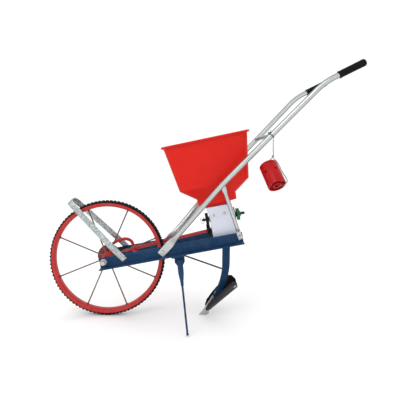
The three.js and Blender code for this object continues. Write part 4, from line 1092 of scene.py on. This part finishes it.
def makeStand():
    pivot, foot = fromAxle(*stand["pivot"]), fromAxle(*stand["foot"])
    up = (pivot - foot).normalized()
    ahead = Vector((-math.cos(beamTilt), -0.1, -math.sin(beamTilt))).normalized()
    hinge = (-up).cross(ahead).normalized()
    place = Matrix.Translation(pivot) @ Matrix((hinge.cross(up), hinge, up)).transposed().to_4x4()
    length = (pivot - foot).length / mm
    middle = -stand["steel"] / 2 - 0.3
    loops = []
    rows = [  # height, half width, half thickness: the flat head, the collar, then the rod
        (14, 5, 2.9), (12.5, 8, 3), (9, 11.4, 3), (-8, 12, 3), (-36, 12, 3), (-46, 11.4, 3), (-66, 8.6, 3),
        (-82, 6.4, 3.2), (-86, 6.2, 5.6), (-92, 6.2, 6.2), (-95, 5.6, 5.6), (-97, 4.2, 4.2), (-150, 4, 4),
        (-length + 12, 4, 4), (-length + 8, 4.8, 4.8), (-length + 3.2, 4.8, 4.8),
    ]
    for height, wide, thick in rows:
        ring = squaredOval(wide, thick, 0.42 + 0.58 * smoothStep(-height, 76, 88), 24)
        loops.append([place @ (Vector((x, middle + y, height)) * mm) for x, y in ring])
    made = loft("standLeg", loops)
    return dress(made, blueEnamel, "stand", ["stand_leg"], 40)


makeStand()

print("handles and struts")
handle = {
    "tube": 22, "flat": 7, "flatWidth": 34, "flatLength": 112, "web": 88.3,
    "lowEnd": (240, 288.5), "flare": (292, 350), "kink": (490, 591), "bend": (880, 1003), "end": (1028, 1079),
    "bendHalf": 220, "gripHalf": 231, "cuts": (30, 50, 45), "grip": 114, "gripRadius": 14,
}


def handlePoints(side):
    low = handle["web"] + handle["tube"] / 2
    first = math.dist(handle["kink"], handle["flare"])
    second = math.dist(handle["bend"], handle["kink"])
    kink = low + (handle["bendHalf"] - low) * first / (first + second)
    halves = {"lowEnd": low, "flare": low, "kink": kink, "bend": handle["bendHalf"], "end": handle["gripHalf"]}
    return [fromAxle(handle[key][0], side * half, handle[key][1]) for key, half in halves.items()]


def crimped(tube, flat, width, length, side):  # round tube pressed flat at its start, face towards the web
    def section(run):
        k = 1 - smoothStep(run, length * 0.5, length)
        tip = 0.96 + 0.04 * smoothStep(run, 0, 3)
        wide = (tube + (width - tube) * k) / 2 * tip
        thick = (tube + (flat - tube) * k) / 2
        ring = []
        for x, y in squaredOval(wide, thick, 1 - 0.62 * k, 28):
            groove = 2.4 * k * math.exp(-(x / 3.4) ** 2) * (1 if y * side > 0 else 0)
            ring.append((x, y - side * (tube / 2 - thick) - side * groove))
        return ring
    return section


def makeHandle(side):
    word = "left" if side < 0 else "right"
    path = rounded(handlePoints(side), handle["cuts"])
    section = crimped(handle["tube"], handle["flat"], handle["flatWidth"], handle["flatLength"], side)
    made = sweep("handle" + word.title(), path, section, (0, 1, 0))
    return dress(made, galvanised, "frame", ["handle_" + word], 50)


def makeGrip(side):
    word = "left" if side < 0 else "right"
    points = handlePoints(side)
    inward = points[3] - points[4]
    place = axes(points[4], inward, (0, 0, 1))
    r, long = handle["gripRadius"], handle["grip"]
    bore = handle["tube"] / 2 + 0.3
    profile = [
        (0, -6), (r - 6, -5.8), (r - 2.5, -4.2), (r - 0.4, -1), (r + 0.6, 3), (r + 0.5, 12), (r, 40), (r, 70),
        (r, long - 18), (r + 0.2, long - 13), (r + 1, long - 11), (r + 1, long - 7), (r - 0.4, long - 5.6),
        (bore, long - 5.6), (bore, -0.5), (0, -0.5),
    ]
    made = lathe("grip" + word.title(), profile, place, 48)
    dress(made, gripRubber, "frame", ["grip_" + word])
    ring = [(r - 1.0, -1.3), (r + 0.2, -1.0), (r + 0.5, 0), (r + 0.2, 1.0), (r - 1.0, 1.3)]
    first = axes(points[4] + inward.normalized() * 22 * mm, inward, (0, 0, 1))
    rib = lathe("gripRibs", ring, first, 40)
    ribs = alongTree.run(rib, Count=16, Step=inward.normalized() * 4.6 * mm, Material=gripRubber)
    ribs.name = "gripRibs" + word.title()
    return dress(ribs, gripRubber, "frame")


strut = {
    "tube": 16, "flat": 5, "flatWidth": 20, "flatLength": 60, "offset": 9, "top": (493, 594.15),
    "belowBolt": 12, "pastTop": 9,
}


def makeStrut(side):
    word = "left" if side < 0 else "right"
    bolt = centreOf("strut_bolt_" + word)
    kink = handlePoints(side)[2]
    start = Vector((bolt.x, side * (handle["web"] + strut["offset"]) * mm, bolt.z))
    x, z = strut["top"]
    end = fromAxle(x, kink.y / mm - side * (handle["tube"] / 2 + 0.3 + strut["offset"]), z)
    along = (end - start).normalized()
    foot = start - along * strut["belowBolt"] * mm
    path = [foot, *spaced(foot, end + along * strut["pastTop"] * mm, 5)]
    length = sum((b - a).length for a, b in zip(path, path[1:])) / mm
    pressed = [strut[key] for key in ("tube", "flat", "flatWidth", "flatLength")]
    near = crimped(*pressed, side)
    far = crimped(*pressed, -side)

    def section(run):
        return near(run) if run < length / 2 else far(length - run)

    made = sweep("strut" + word.title(), path, section, (0, 1, 0))
    return dress(made, galvanised, "frame", ["strut_" + word], 50)


def makeCrossBrace():
    low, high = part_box("cross_brace")
    centre = (low + high) / 2
    half = (high.y - low.y) / 2 / mm
    r, collar = 8, 12
    right = [(r, half - 16.5), (collar, half - 16), (collar, half), (0, half)]
    profile = [(radius, -out) for radius, out in right[::-1]] + right
    made = bevelled(lathe("crossBrace", profile, axes(centre, (0, 1, 0), (1, 0, 0)), 40), 0.9)
    return dress(made, galvanised, "frame", ["cross_brace"])


for side in (-1, 1):
    makeHandle(side)
    makeGrip(side)
    makeStrut(side)
makeCrossBrace()

print("floor and light")
studio = {"floor": 60, "floorDrop": 0.0005, "world": 1.04, "key": 30, "fill": 4, "rim": 8}


def makeFloor():
    half, z = studio["floor"] / 2, -studio["floorDrop"]
    corners = [(-half, -half, z), (half, -half, z), (half, half, z), (-half, half, z)]
    floor = newObject("floor", corners, [(0, 1, 2, 3)])
    matt = Shader("paleFloor").finish(
        Base_Color=rgb(0.98, 0.98, 0.98), Roughness=1.0, Specular_IOR_Level=0.0)
    floor.data.materials.append(matt)


def makeLight(name, place, target, power, size):
    data = bpy.data.lights.new(name, "AREA")
    data.energy = power
    data.size = size
    lamp = bpy.data.objects.new(name, data)
    lamp.location = place
    lamp.rotation_euler = (Vector(target) - Vector(place)).to_track_quat("-Z", "Y").to_euler()
    bpy.context.scene.collection.objects.link(lamp)


def makeStudio():
    world = bpy.data.worlds.new("studio")
    world.use_nodes = True
    backdrop = world.node_tree.nodes["Background"]
    backdrop.inputs["Color"].default_value = rgb(1, 1, 1)
    backdrop.inputs["Strength"].default_value = studio["world"]
    bpy.context.scene.world = world
    bpy.context.scene.view_settings.view_transform = "Standard"
    makeLight("key", (-1.6, -2.4, 3.0), (0, 0, 0.4), studio["key"], 2.0)
    makeLight("fill", (2.6, -2.2, 1.6), (0, 0, 0.4), studio["fill"], 2.4)
    makeLight("rim", (0.6, 2.6, 2.4), (0, 0, 0.5), studio["rim"], 2.0)


makeFloor()
makeStudio()
